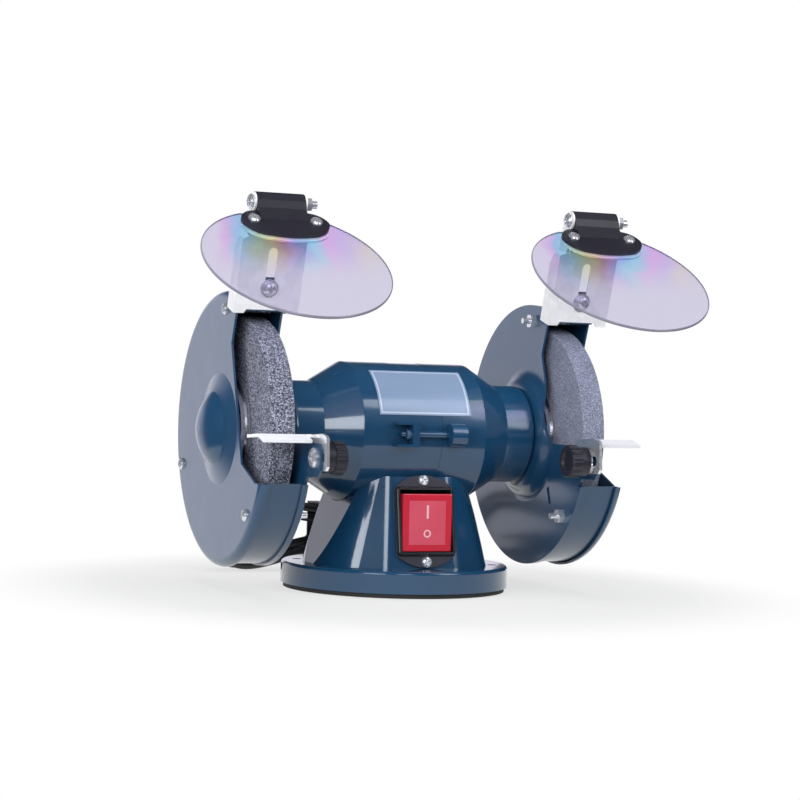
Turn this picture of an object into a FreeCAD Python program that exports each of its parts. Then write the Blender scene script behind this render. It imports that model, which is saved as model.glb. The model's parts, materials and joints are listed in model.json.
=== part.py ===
import FreeCAD
import Part
import Sketcher
import math
import os
import re

from FreeCAD import Placement, Rotation, Vector

# Bench grinder for two 150 mm wheels. Millimetres, +Z up, X along the spindle, the user stands at -Y.
# The origin is the centre of the base, on the bench.

SIZES = {
    # Base and pedestal
    "shaft_height": 106.5,
    "pad_radius": 75.5,
    "pad_thick": 3,
    "flange_radius": 77.4,
    "flange_top": 17.5,
    "flange_round": 2,
    "bolt_x": 61,
    "bolt_y": 27,
    "bolt_hole": 3.2,
    "cone_low": 66.8,
    "cone_fall": 0.264,
    "pedestal_top": 78,
    "pedestal_wall": 4.5,
    "cavity_low": 6.5,
    "cavity_top": 54,
    "lip_radius": 52,
    "plate_radius": 60.8,
    "plate_thick": 1.4,
    "panel_reach": 50,
    "panel_lean": 10.1,
    "panel_round": 16,
    "facet_turn": 25,
    "facet_round": 25,
    "facet_reach": 56.3,
    "facet_lean": 10.8,
    "flat_reach": 62.5,
    "flat_lean": 23.4,
    "saddle_gap": 0.2,
    "saddle_screw_x": 28,
    # Motor
    "motor_radius": 47.1,
    "motor_wall": 4.5,
    "seam_x": 12.25,
    "barrel_end": 44.2,
    "neck_start": 67,
    "neck_radius": 33.5,
    "neck_end": 88.5,
    "stator_radius": 46.9,
    "stator_bore": 25,
    "winding_x": 19,
    "winding_ring": 35,
    "winding_radius": 6.3,
    "lug_height": 8.2,
    "lug_reach": 55.5,
    "tie_reach": 51,
    "tie_radius": 2,
    "label_half": 33,
    "label_from": 15.5,
    "label_sweep": 45.5,
    "label_radius": 47.2,
    "label_thick": 0.4,
    # Spindle, wheels and bearings
    "shaft_middle": 9,
    "shaft_seat": 7.5,
    "shaft_end": 6.3,
    "shaft_half": 137,
    "wheel_x": 111.3,
    "wheel_half": 8,
    "wheel_radius": 75,
    "wheel_bore": 6.35,
    "collar_radius": 34.5,
    "collar_thick": 6,
    "blotter_thick": 0.6,
    "blotter_radius": 34,
    "nut_thick": 8,
    "nut_flats": 19,
    "bearing_from": 73,
    "bearing_to": 84,
    "bearing_radius": 17.5,
    "rotor_radius": 24.6,
    "rotor_half": 13,
    # Guards
    "disc_x": 97,
    "sheet": 1.5,
    "disc_radius": 90.5,
    "dish_inner": 31,
    "dish_turn": 55,
    "band_radius": 89,
    "cover_x": 129.5,
    "cover_radius": 91.3,
    "cover_round": 5.5,
    "rim_x": 123.5,
    "guard_screw_ring": 79.5,
    "tab_front": 108,
    "tab_high": 5,
    "tab_low": 26,
    # Shield bracket, clamp and shield
    "bracket_x": 113.5,
    "bracket_y": 40.5,
    "bracket_z": 76,
    "bracket_lean": 17,
    "bracket_half": 22,
    "bracket_sheet": 1.2,
    "flange_depth": 13,
    "shoulder": 48,
    "neck_half": 17.8,
    "plate_top": 60,
    "hinge_back": 3,
    "hinge_up": 73,
    "hinge_radius": 2.5,
    "lobe": 6.2,
    "slot_low": 16.5,
    "slot_high": 40,
    "slot_half": 3.2,
    "shield_slope": 34,
    "shield_radius": 61,
    "shield_shift": 5,
    "shield_out": 64.5,
    "shield_cut": 8,
    "shield_drop": 4.2,
    "shield_thick": 2,
    "clamp_half": 16.4,
    "clamp_barrel": 6.5,
    "clamp_thick": 2,
    "clamp_wide": 29.7,
    "clamp_back": 7,
    "clamp_middle": 18.5,
    "clamp_front": 36,
    "clamp_screw_x": 21,
    "clamp_screw_out": 18,
    # Tool rest
    "rest_y": 97,
    "rest_z": 14.3,
    "rest_slope": -4,
    "rest_sheet": 2,
    "rest_top": 15,
    "rest_outer": 133.4,
    "lip_top": 11.1,
    "lip_front": 3.3,
    "rest_bolt": 3,
    "knob_from": 79.3,
    "knob_to": 87,
    "knob_radius": 11,
    "knob_collar": 9.5,
    "collar_to": 93.2,
    # Switch, in the panel's own frame
    "switch_x": 1.5,
    "switch_up": 31.3,
    "face_radius": 30.9,
    "face_screw_up": 27.3,
    "face_half": 20.5,
    "face_thick": 2,
    "bezel_half": 20.9,
    "bezel_tall": 23.2,
    "bezel_out": 4.4,
    "well_half": 18.5,
    "well_tall": 20.8,
    "rocker_half": 17.9,
    "rocker_tall": 19.2,
    "rocker_front": 8.9,
    "window_half": 13.3,
    "window_tall": 14.7,
    "pivot_in": 3,
    "rocker_tilt": 9,
    # Cord
    "cord_radius": 3.1,
    "gland_x": 36,
    "gland_z": 46,
    "gland_face": 50,
    "gland_length": 24,
    "hank_run": 55,
    "hank_outer": 28,
    "hank_step": 7.4,
    "hank_waist": 11,
}

HEAD_SHAPE = ((0, 1), (0.35, 1), (0.75, 0.8), (1, 0.4))
GUARD_SCREW_ANGLES = (84, -42, 200)

doc = FreeCAD.newDocument("bench_grinder")
sheet = doc.addObject("Spreadsheet::Sheet", "dims")
for row, (alias, number) in enumerate(SIZES.items(), start=1):
    sheet.set(f"A{row}", alias)
    sheet.set(f"B{row}", str(number))
    sheet.setAlias(f"B{row}", alias)
doc.recompute()

nodes = []


# Expressions
def cells(text):
    def point(word):
        return f"dims.{word.group()}" if word.group() in SIZES else word.group()
    return re.sub(r"[a-z]\w*", point, str(text))


def size(text):
    return float(sheet.evalExpression(cells(text)))


def bind(thing, prop, text):
    thing.setExpression(prop, cells(text))


def keep(thing, label):
    thing.Label = label
    nodes.append(thing)
    return thing


def place(thing, x=0, y=0, z=0, axis=None, angle=0):
    turn = Rotation(axis, size(angle)) if axis else Rotation()
    thing.Placement = Placement(Vector(size(x), size(y), size(z)), turn)
    for name, text in (("x", x), ("y", y), ("z", z)):
        bind(thing, f"Placement.Base.{name}", text)
    return thing


# Sketches
def new_body(name):
    return doc.addObject("PartDesign::Body", name)


def new_sketch(body, plane, offset=0):
    sketch = body.newObject("Sketcher::SketchObject", f"{body.Name}_sketch")
    support = next(f for f in body.Origin.OriginFeatures if f.Role == plane)
    sketch.AttachmentSupport = (support, [""])
    sketch.MapMode = "FlatFace"
    bind(sketch, "AttachmentOffset.Base.z", offset)
    return sketch


def fix_point(sketch, geometry, spot, x, y):
    for kind, text in (("DistanceX", x), ("DistanceY", y)):
        index = sketch.addConstraint(Sketcher.Constraint(kind, -1, 1, geometry, spot, size(text)))
        bind(sketch, f"Constraints[{index}]", text)


# A closed outline. A corner is (x, y), or (x, y, via_x, via_y) where an arc leads to the next corner.
def outline(sketch, corners):
    points = [Vector(size(c[0]), size(c[1]), 0) for c in corners]
    ends = []
    for i, corner in enumerate(corners):
        start = points[i]
        end = points[(i + 1) % len(points)]
        if len(corner) == 4:
            via = Vector(size(corner[2]), size(corner[3]), 0)
            index = sketch.addGeometry(Part.Arc(start, via, end), False)
            forward = (sketch.getPoint(index, 1) - start).Length < 1e-6
            centre = sketch.Geometry[index].Center
            upright = abs(end.x - start.x) < abs(end.y - start.y)
            kind, number = ("DistanceX", centre.x) if upright else ("DistanceY", centre.y)
            sketch.addConstraint(Sketcher.Constraint(kind, -1, 1, index, 3, number))
        else:
            index = sketch.addGeometry(Part.LineSegment(start, end), False)
            forward = True
        ends.append((index, 1, 2) if forward else (index, 2, 1))
    for i, (index, start, end) in enumerate(ends):
        after = ends[(i + 1) % len(ends)]
        sketch.addConstraint(Sketcher.Constraint("Coincident", index, end, after[0], after[1]))
        fix_point(sketch, index, start, corners[i][0], corners[i][1])


def circle(sketch, x, y, radius):
    index = sketch.addGeometry(Part.Circle(Vector(size(x), size(y), 0), Vector(0, 0, 1), size(radius)), False)
    fix_point(sketch, index, 3, x, y)
    datum = sketch.addConstraint(Sketcher.Constraint("Radius", index, size(radius)))
    bind(sketch, f"Constraints[{datum}]", radius)


# A slot along the sketch's X or Y, between two end centres.
def slot(sketch, x0, y0, x1, y1, radius):
    radius = f"({radius})"
    if size(x0) == size(x1):
        outline(sketch, [(f"{x0} + {radius}", y0), (f"{x1} + {radius}", y1, x1, f"{y1} + {radius}"),
                         (f"{x1} - {radius}", y1), (f"{x0} - {radius}", y0, x0, f"{y0} - {radius}")])
    else:
        outline(sketch, [(x0, f"{y0} - {radius}"), (x1, f"{y1} - {radius}", f"{x1} + {radius}", y1),
                         (x1, f"{y1} + {radius}"), (x0, f"{y0} + {radius}", f"{x0} - {radius}", y0)])


def hexagon(sketch, flats, bore):
    corner = f"({flats}) / sqrt(3)"
    outline(sketch, [(f"{corner} * cos({60 * i})", f"{corner} * sin({60 * i})") for i in range(6)])
    circle(sketch, 0, 0, bore)


# Features
def turned(body, corners, angle=360):
    sketch = new_sketch(body, "XZ_Plane")
    outline(sketch, corners)
    feature = body.newObject("PartDesign::Revolution", f"{body.Name}_turn")
    feature.Profile = sketch
    feature.ReferenceAxis = (sketch, ["H_Axis"])
    bind(feature, "Angle", angle)
    doc.recompute()
    return body


def pad(body, plane, draw, length, offset=0):
    sketch = new_sketch(body, plane, offset)
    draw(sketch)
    feature = body.newObject("PartDesign::Pad", f"{body.Name}_pad")
    feature.Profile = sketch
    bind(feature, "Length", length)
    doc.recompute()
    return body


# A cut through everything, or with a depth along the sketch's normal turned round.
def pocket(body, plane, draw, depth=None, offset=0, ahead=False):
    before = body.Shape.Volume
    sketch = new_sketch(body, plane, offset)
    draw(sketch)
    feature = body.newObject("PartDesign::Pocket", f"{body.Name}_pocket")
    feature.Profile = sketch
    if depth is None:
        feature.Type = "ThroughAll"
        feature.Midplane = True
    else:
        feature.Reversed = ahead
        bind(feature, "Length", depth)
    doc.recompute()
    if body.Shape.Volume > before - 1e-3:
        raise RuntimeError(f"{body.Name}: a pocket cuts nothing")
    return feature


def rounded(body, radius, pick):
    blank = body.Tip
    names = [f"Edge{i}" for i, edge in enumerate(blank.Shape.Edges, start=1) if pick(edge)]
    feature = body.newObject("PartDesign::Fillet", f"{body.Name}_round")
    feature.Base = (blank, names)
    bind(feature, "Radius", radius)
    doc.recompute()
    return body


def is_ring(edge, x, radius):
    curve = edge.Curve
    return (isinstance(curve, Part.Circle) and abs(curve.Center.x - x) < 1e-3
            and abs(curve.Radius - radius) < 1e-3)


# Primitives and booleans
def box(name, x0, x1, y0, y1, z0, z1):
    block = doc.addObject("Part::Box", name)
    for prop, low, high in (("Length", x0, x1), ("Width", y0, y1), ("Height", z0, z1)):
        bind(block, prop, f"({high}) - ({low})")
    return place(block, x0, y0, z0)


def rod(name, radius, length, x, y, z, axis=None, angle=0):
    bar = doc.addObject("Part::Cylinder", name)
    bind(bar, "Radius", radius)
    bind(bar, "Height", length)
    return place(bar, x, y, z, axis, angle)


def fuse(name, parts):
    union = doc.addObject("Part::MultiFuse", name)
    union.Shapes = parts
    return union


def cut(name, base, tools):
    difference = doc.addObject("Part::Cut", name)
    difference.Base = base
    difference.Tool = tools[0] if len(tools) == 1 else fuse(f"{name}_tools", tools)
    doc.recompute()
    if difference.Shape.Volume > base.Shape.Volume - 1e-3:
        raise RuntimeError(f"{name}: a cut takes nothing away")
    return difference


def group(name, parts):
    whole = doc.addObject("Part::Compound", name)
    whole.Links = parts
    return whole


def mirrored(name, source):
    image = doc.addObject("Part::Mirroring", name)
    image.Source = source
    image.Base = Vector(0, 0, 0)
    image.Normal = Vector(1, 0, 0)
    return image


def both_sides(name, source):
    keep(source, f"right_{name}")
    return keep(mirrored(f"left_{name}_mirror", source), f"left_{name}")


# Fasteners. A screw lies along X with its head's seat at x = 0 and the head towards +X.
def pan_screw(name, shank, length, head, tall):
    body = new_body(name)
    profile = [(f"-({length})", 0), (f"-({length})", shank), (0, shank)]
    profile += [(f"{along} * {tall}", f"{out} * {head}") for along, out in HEAD_SHAPE]
    turned(body, profile + [(tall, 0)])
    arm = 0.58 * head
    blade = 0.14 * head
    cross = [(blade, blade), (blade, arm), (-blade, arm), (-blade, blade), (-arm, blade), (-arm, -blade),
             (-blade, -blade), (-blade, -arm), (blade, -arm), (blade, -blade), (arm, -blade), (arm, blade)]
    pocket(body, "YZ_Plane", lambda s: outline(s, cross), 0.6 * tall, tall)
    return body


def hex_nut(name, flats, thick, bore):
    return pad(new_body(name), "YZ_Plane", lambda s: hexagon(s, flats, bore), thick)


def ring(name, inner, outer, low, high):
    corners = [(low, inner), (high, inner), (high, outer), (low, outer)]
    return turned(new_body(name), corners)


def on_shaft(thing):
    return place(thing, z="shaft_height")


# Base and pedestal
def leaning_slab(name, turn, lean, reach, wall):
    slab = box(name, -120, 120, -120, 0, -120, 120)
    for name in ("x", "y", "z"):
        slab.setExpression(f"Placement.Base.{name}", None)
    outward = Rotation(Vector(0, 0, 1), size(turn))
    foot = outward.multVec(Vector(0, size(wall) - size(reach), size("flange_top")))
    lean_back = Rotation(Vector(1, 0, 0), -size(lean))
    slab.Placement = (Placement(foot, outward.multiply(lean_back))
                      .multiply(Placement(Vector(-120, -120, -120), Rotation())))
    return slab


def pedestal_block(name, low, high, wall):
    cone = doc.addObject("Part::Cone", f"{name}_cone")
    bind(cone, "Radius1", f"cone_low - {wall} - cone_fall * ({low} - pad_thick)")
    bind(cone, "Radius2", f"cone_low - {wall} - cone_fall * ({high} - pad_thick)")
    bind(cone, "Height", f"{high} - {low}")
    place(cone, z=low)
    slabs = [leaning_slab(f"{name}_panel", 0, "panel_lean", "panel_reach", wall)]
    for side in (-1, 1):
        slabs.append(leaning_slab(f"{name}_facet", f"{side} * facet_turn", "facet_lean", "facet_reach", wall))
        slabs.append(leaning_slab(f"{name}_flat", 90 * side, "flat_lean", "flat_reach", wall))
    return cut(name, cone, slabs)


PANEL_TURN = Rotation(Vector(1, 0, 0), -size("panel_lean"))
PANEL_FOOT = Vector(size("switch_x"), -size("panel_reach"), size("flange_top"))
PANEL_PLACE = Placement(PANEL_FOOT + PANEL_TURN.multVec(Vector(0, 0, size("switch_up"))), PANEL_TURN)


# Puts a piece that is drawn in the panel's frame (outward is -Y) on the panel.
def on_panel(thing):
    for name in ("x", "y", "z"):
        thing.setExpression(f"Placement.Base.{name}", None)
    thing.Placement = PANEL_PLACE.multiply(thing.Placement)
    return thing


# Rounds the long edges on both sides of the panel and of its neighbouring facets.
def soft_pedestal(block):
    edges = []
    for number, edge in enumerate(block.Shape.Edges, start=1):
        low, high = sorted(v.Z for v in edge.Vertexes) if len(edge.Vertexes) == 2 else (0, 0)
        centre = edge.valueAt((edge.FirstParameter + edge.LastParameter) / 2)
        if high - low > 60 and centre.y < -30:
            radius = size("panel_round") if isinstance(edge.Curve, Part.Line) else size("facet_round")
            edges.append((number, radius, radius))
    soft = doc.addObject("Part::Fillet", "soft_pedestal")
    soft.Base = block
    soft.Edges = edges
    doc.recompute()
    return soft


def base_casting():
    flange = rod("flange", "flange_radius", "flange_top - pad_thick", 0, 0, "pad_thick")
    doc.recompute()
    soft_flange = doc.addObject("Part::Fillet", "soft_flange")
    soft_flange.Base = flange
    top = next(i for i, e in enumerate(flange.Shape.Edges, start=1)
               if isinstance(e.Curve, Part.Circle) and abs(e.Curve.Center.z - size("flange_top")) < 1e-3)
    soft_flange.Edges = [(top, size("flange_round"), size("flange_round"))]
    outer = soft_pedestal(pedestal_block("pedestal_outer", "pad_thick", "pedestal_top", 0))
    boss = rod("gland_boss", 9, "gland_face - 20", "gland_x", 20, "gland_z", Vector(1, 0, 0), -90)
    whole = fuse("casting_blank", [soft_flange, outer, boss])
    along_x = Vector(0, 1, 0)
    tools = [
        pedestal_block("cavity", "cavity_low", "cavity_top", "pedestal_wall"),
        rod("lip_hole", "lip_radius", "cavity_low", 0, 0, 0),
        rod("plate_recess", "plate_radius + 0.2", "plate_thick + 0.1", 0, 0, "pad_thick"),
        rod("saddle", "motor_radius + saddle_gap", 240, -120, 0, "shaft_height", along_x, 90),
        rod("gland_hole", 5.05, 40, "gland_x", 10, "gland_z", Vector(1, 0, 0), -90),
        on_panel(box("switch_hole", "-(well_half + 1.2)", "well_half + 1.2", -5, 20,
                     "-(well_tall + 1.6)", "well_tall + 1.6")),
    ]
    for side in (-1, 1):
        tools.append(rod("saddle_screw_hole", 2.55, 20, f"{side} * saddle_screw_x", 0, "cavity_top - 4"))
        up = f"{side} * face_screw_up"
        tools.append(on_panel(rod("face_screw_hole", 1.55, 20, 0, 10, up, Vector(1, 0, 0), 90)))
        for end in (-1, 1):
            tools.append(rod("bolt_hole_tool", "bolt_hole", 30, f"{side} * bolt_x", f"{end} * bolt_y", 0))
    return cut("casting", whole, tools)


keep(base_casting(), "base_casting")


def foot_outline(sketch):
    circle(sketch, 0, 0, "pad_radius")
    for side in (-1, 1):
        for end in (-1, 1):
            circle(sketch, f"{side} * bolt_x", f"{end} * bolt_y", "bolt_hole + 0.4")


keep(pad(new_body("sole"), "XY_Plane", foot_outline, "pad_thick"), "foot_pad")
keep(pad(new_body("floor"), "XY_Plane", lambda s: circle(s, 0, 0, "plate_radius"), "plate_thick", "pad_thick"),
     "bottom_plate")

saddle_screws = []
for side in (-1, 1):
    screw = pan_screw("saddle_screw", 2.5, 8.6, 4.6, 3)
    place(screw, f"{side} * saddle_screw_x", 0, "cavity_top", Vector(0, 1, 0), 90)
    saddle_screws.append(screw)

capacitor = rod("can", 14, 44, -22, 16, "pad_thick + plate_thick + 14.1", Vector(0, 1, 0), 90)
keep(capacitor, "capacitor")
block_low = "pad_thick + plate_thick"
keep(box("terminals", -16, 16, -14, -2, block_low, f"{block_low} + 12"), "terminal_block")


# Motor housing. side is -1 for the left bell and 1 for the right one.
def end_bell(side):
    body = new_body("bell")
    profile = [("seam_x", "motor_radius"), ("barrel_end", "motor_radius"), ("neck_start", "neck_radius"),
               ("neck_end", "neck_radius"), ("neck_end", "shaft_seat + 0.7"),
               ("bearing_to + 0.2", "shaft_seat + 0.7"), ("bearing_to + 0.2", "bearing_radius + 0.02"),
               ("bearing_from - 0.5", "bearing_radius + 0.02"), ("bearing_from - 0.5", "neck_radius - 6.5"),
               ("neck_start - 1", "neck_radius - 6"), ("barrel_end - 1.2", "motor_radius - motor_wall"),
               ("seam_x", "motor_radius - motor_wall")]
    turned(body, [(f"{side} * ({x})", r) for x, r in profile])
    rounded(body, 3.5, lambda e: is_ring(e, side * size("neck_end"), size("neck_radius")))
    rounded(body, 1.2, lambda e: is_ring(e, side * size("barrel_end"), size("motor_radius")))
    for face in (-1, 1):
        tie_lug(body, side, face)
    pocket(body, "XY_Plane", lambda s: circle(s, f"{side} * saddle_screw_x", 0, 2.52), 60)
    spots = [(f"24 * cos({a})", f"24 * sin({a})") for a in (90, 210, 330)]
    deep = (f"{side} * neck_end", side < 0)
    for y, z in spots:
        pocket(body, "YZ_Plane", lambda s: circle(s, y, z, 2.05), 9, *deep)
    return on_shaft(body)


# The left bell carries an open lug with the nut in it, the right one a round boss under the bolt head.
def tie_lug(body, side, face):
    deep = f"{face} * 43.6"
    tip = f"{face} * lug_reach"

    def plate(sketch, low, high, inner):
        outline(sketch, [(inner, low), (inner, high), (tip, high), (tip, low)])

    if side > 0:
        pad(body, "YZ_Plane", lambda s: circle(s, f"{face} * (tie_reach - 0.1)", 0, 7.6), 11, 15)
    else:
        for low, high in ((6.4, "lug_height"), ("-lug_height", -6.4)):
            pad(body, "YZ_Plane", lambda s: plate(s, low, high, deep), 11.8, -24)
        pad(body, "YZ_Plane", lambda s: plate(s, "-lug_height", "lug_height", f"{face} * 47.5"), 5, -13)
    pocket(body, "YZ_Plane", lambda s: circle(s, f"{face} * tie_reach", 0, "tie_radius + 0.08"))


keep(end_bell(-1), "left_end_bell")
keep(end_bell(1), "right_end_bell")
keep(on_shaft(ring("stack", "stator_bore", "stator_radius", "0.1 - seam_x", "seam_x - 0.1")), "stator_core")

coils = []
for side in (-1, 1):
    coil = doc.addObject("Part::Torus", "coil")
    bind(coil, "Radius1", "winding_ring")
    bind(coil, "Radius2", "winding_radius")
    coils.append(place(coil, f"{side} * winding_x", 0, "shaft_height", Vector(0, 1, 0), 90))
keep(group("coils", coils), "stator_windings")

ties = []
for face in (-1, 1):
    bolt = pan_screw("tie_bolt", 2, 46, 3.6, 3)
    nut = hex_nut("tie_nut", 6.5, 3.6, "tie_radius + 0.04")
    ties.append(place(bolt, 26, f"{face} * tie_reach", "shaft_height"))
    ties.append(place(nut, "-13 - 3.6", f"{face} * tie_reach", "shaft_height"))
keep(group("tie_set", ties), "tie_bolts")

label_high = "label_radius + label_thick"
plate = turned(new_body("label"), [("-label_half", "label_radius"), ("label_half", "label_radius"),
                                   ("label_half", label_high), ("-label_half", label_high)], "label_sweep")
place(plate, 0, 0, "shaft_height", Vector(1, 0, 0), "90 - label_from - label_sweep")
keep(plate, "nameplate")

# Spindle, which turns in the bells
shaft_steps = [("shaft_half", "shaft_end"), ("wheel_x - wheel_half - blotter_thick - collar_thick", "shaft_end"),
               ("wheel_x - wheel_half - blotter_thick - collar_thick", "shaft_seat"),
               ("bearing_from - 1", "shaft_seat"), ("bearing_from - 1", "shaft_middle")]
shaft_profile = [("-shaft_half", 0)] + [(f"-({x})", r) for x, r in shaft_steps]
shaft_profile += list(reversed(shaft_steps)) + [("shaft_half", 0)]
keep(on_shaft(turned(new_body("shaft"), shaft_profile)), "spindle_shaft")
keep(on_shaft(ring("rotor", "shaft_middle + 0.05", "rotor_radius", "-rotor_half", "rotor_half")), "rotor_core")


# The two wheels, their paper blotters, cupped flanges and nuts, out from the wheel's middle plane
def grinding_wheel():
    body = new_body("wheel")
    inner = "wheel_x - wheel_half"
    outer = "wheel_x + wheel_half"
    turned(body, [(inner, "wheel_bore"), (outer, "wheel_bore"), (outer, "wheel_radius - 0.8"),
                  (f"{outer} - 0.8", "wheel_radius"), (f"{inner} + 0.8", "wheel_radius"),
                  (inner, "wheel_radius - 0.8")])
    return on_shaft(body)


def wheel_collar(way):
    near = "wheel_half + blotter_thick"
    profile = [(f"{near} + collar_thick", "wheel_bore"), (f"{near} + collar_thick", 13), (f"{near} + 3", 18),
               (f"{near} + 3", 27), (f"{near} + 5", 30.5), (f"{near} + 5", "collar_radius - 2"),
               (f"{near} + 1.6", "collar_radius - 2"), (f"{near} + 1.6", "collar_radius"), (near, "collar_radius"),
               (near, 21), (f"{near} + 1", 20), (f"{near} + 1", "wheel_bore")]
    return on_shaft(turned(new_body("collar"), [(f"wheel_x + {way} * ({x})", r) for x, r in profile]))


def blotter(way):
    faces = [f"wheel_x + {way} * wheel_half", f"wheel_x + {way} * (wheel_half + blotter_thick)"]
    return on_shaft(ring("blotter", "wheel_bore", "blotter_radius", *faces))


both_sides("wheel", grinding_wheel())
collars = [wheel_collar(-1), wheel_collar(1)]
keep(group("collar_set", collars + [mirrored("collar_mirror", c) for c in collars]), "wheel_flanges")
blotters = [blotter(-1), blotter(1)]
keep(group("blotter_set", blotters + [mirrored("blotter_mirror", b) for b in blotters]), "blotters")
end_nut = hex_nut("end_nut", "nut_flats", "nut_thick", "wheel_bore")
place(end_nut, "wheel_x + wheel_half + blotter_thick + collar_thick", 0, "shaft_height")
keep(group("end_nut_set", [end_nut, mirrored("end_nut_mirror", end_nut)]), "spindle_nuts")

outer_race = on_shaft(ring("outer_race", 14.4, "bearing_radius", "bearing_from", "bearing_to"))
keep(group("outer_races", [outer_race, mirrored("outer_race_mirror", outer_race)]), "bearing_outer_rings")
races = [on_shaft(ring("inner_race", "shaft_seat + 0.04", 10.6, "bearing_from", "bearing_to"))]
for number in range(8):
    ball = doc.addObject("Part::Sphere", "ball")
    ball.Radius = 1.8
    turn = 45 * number
    races.append(place(ball, "(bearing_from + bearing_to) / 2", f"12.5 * cos({turn})",
                       f"shaft_height + 12.5 * sin({turn})"))
keep(group("inner_races", races + [mirrored("race_mirror", r) for r in races]), "bearing_inner_rings")

# Guards. The mouth is cut alike from the inner disc and the cover.
MOUTH = [(-36, 98), (-21, 56), (-47, -21), (-74, -32), (-120, -32), (-120, 98)]


def guard_screw_spots():
    return [(f"-guard_screw_ring * cos({a})", f"guard_screw_ring * sin({a})") for a in GUARD_SCREW_ANGLES]


def screw_holes(sketch):
    for y, z in guard_screw_spots():
        circle(sketch, y, z, 2.1)


def guard_disc():
    body = new_body("disc")
    seat = "neck_end + 0.1"
    back = "disc_x + sheet"
    bend = "(disc_x - neck_end - 0.1) / (2 - 2 * cos(dish_turn))"
    dish_outer = f"dish_inner + 2 * {bend} * sin(dish_turn)"

    def near_seat(reach, turn):
        return f"{seat} + {bend} - ({reach}) * cos({turn})", f"dish_inner + ({reach}) * sin({turn})"

    def near_disc(reach, turn):
        return f"disc_x - {bend} + ({reach}) * cos({turn})", f"{dish_outer} - ({reach}) * sin({turn})"

    half = "dish_turn / 2"
    turned(body, [
        (seat, 13.5), (seat, "dish_inner", *near_seat(bend, half)),
        (*near_seat(bend, "dish_turn"), *near_disc(bend, half)), ("disc_x", dish_outer),
        ("disc_x", "disc_radius"), ("disc_x + 4", "disc_radius"), ("disc_x + 4", "disc_radius - sheet + 0.1"),
        (back, "disc_radius - sheet + 0.1"), (back, dish_outer, *near_disc(f"{bend} + sheet", half)),
        (*near_disc(f"{bend} + sheet", "dish_turn"), *near_seat(f"{bend} - sheet", half)),
        (f"{seat} + sheet", "dish_inner"), (f"{seat} + sheet", 13.5)])
    pocket(body, "YZ_Plane", lambda s: outline(s, MOUTH))
    tab = [(-36, "-tab_high"), ("4 - tab_front", "-tab_high"), ("-tab_front", "-tab_high - 4"),
           ("-tab_front", "4 - tab_low"), ("4 - tab_front", "-tab_low"), (-86, "-tab_low - 0.5"),
           (-80, -34), (-50, -34), (-44, -14)]
    pad(body, "YZ_Plane", lambda s: outline(s, tab), "sheet", "disc_x")
    pocket(body, "YZ_Plane", screw_holes)
    pocket(body, "YZ_Plane", lambda s: circle(s, "-rest_y", "-rest_z", "rest_bolt + 0.03"))
    lance = [(-38.5, -34.5), (-35.5, -35.5), (-39.5, -46.5), (-42.5, -45.5)]
    pocket(body, "YZ_Plane", lambda s: outline(s, lance))
    for angle in (90, 210, 330):
        pocket(body, "YZ_Plane", lambda s: circle(s, f"24 * cos({angle})", f"24 * sin({angle})", 2.1))
    return on_shaft(body)


def guard_band():
    body = new_body("band")
    low = "disc_x + sheet + 0.1"
    high = "cover_x - 3.4"
    turned(body, [(low, "band_radius - sheet"), (high, "band_radius - sheet"), (high, "band_radius"),
                  (low, "band_radius")])
    mouth_angle = 63.5
    mouth = [(-20, -31.5), (-120, -31.5), (-120, 120), (f"-125 * cos({mouth_angle})", f"125 * sin({mouth_angle})"),
             (f"-45 * cos({mouth_angle})", f"45 * sin({mouth_angle})")]
    pocket(body, "YZ_Plane", lambda s: outline(s, mouth))
    corners = [bracket_point(back, up) for back, up in ((1.3, 1.2), (2.8, 1.2), (2.8, 23), (1.3, 23))]
    pad(body, "YZ_Plane", lambda s: outline(s, corners), 24, "bracket_x - 12")
    hole = rod("band_hole", 2.55, 12, "bracket_x", 0, 0, Vector(1, 0, 0), "bracket_lean - 90")
    spot_y, spot_z = bracket_point(-4, "slot_low")
    place(hole, "bracket_x", spot_y, spot_z, Vector(1, 0, 0), "bracket_lean - 90")
    return on_shaft(cut("band_drilled", body, [hole]))


# A point of the shield bracket's frame, given by its way back and up, in the guard's (y, z).
def bracket_point(back, up):
    return (f"-bracket_y + ({back}) * cos(bracket_lean) - ({up}) * sin(bracket_lean)",
            f"bracket_z + ({back}) * sin(bracket_lean) + ({up}) * cos(bracket_lean)")


def guard_cover():
    body = new_body("cover")
    face = "cover_x"
    back = "cover_x - sheet"
    bend = "cover_radius - cover_round"
    bend_x = "cover_x - cover_round"
    diagonal = "cover_round * cos(45)"
    inner_diagonal = "(cover_round - sheet) * cos(45)"
    turned(body, [
        (143.5, 0), (143.5, 3, 141, 13.1), (134, 24.5), (133, 27), (face, 37),
        (face, bend, f"{bend_x} + {diagonal}", f"{bend} + {diagonal}"), (bend_x, "cover_radius"),
        ("rim_x", "cover_radius"), ("rim_x", "cover_radius - sheet"),
        (bend_x, "cover_radius - sheet", f"{bend_x} + {inner_diagonal}", f"{bend} + {inner_diagonal}"),
        (back, bend), (back, 37.8), (131.4, 27.8), (132.4, 24, 139.5, 12.9), (142, 3), (142, 0)])
    pocket(body, "YZ_Plane", lambda s: outline(s, MOUTH))
    pocket(body, "YZ_Plane", screw_holes)
    return on_shaft(body)


def guard_screws():
    parts = []
    for y, z in guard_screw_spots():
        screw = pan_screw("guard_screw", 2, "cover_x - 88", 4, 2.6)
        nut = hex_nut("guard_nut", 8.5, 4, 2.04)
        parts.append(place(screw, "cover_x", y, f"shaft_height + {z}"))
        parts.append(place(nut, "disc_x - 4", y, f"shaft_height + {z}"))
    return group("guard_screw_set", parts)


both_sides("guard_disc", guard_disc())
both_sides("guard_band", guard_band())
both_sides("guard_cover", guard_cover())
both_sides("guard_screws", guard_screws())

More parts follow.
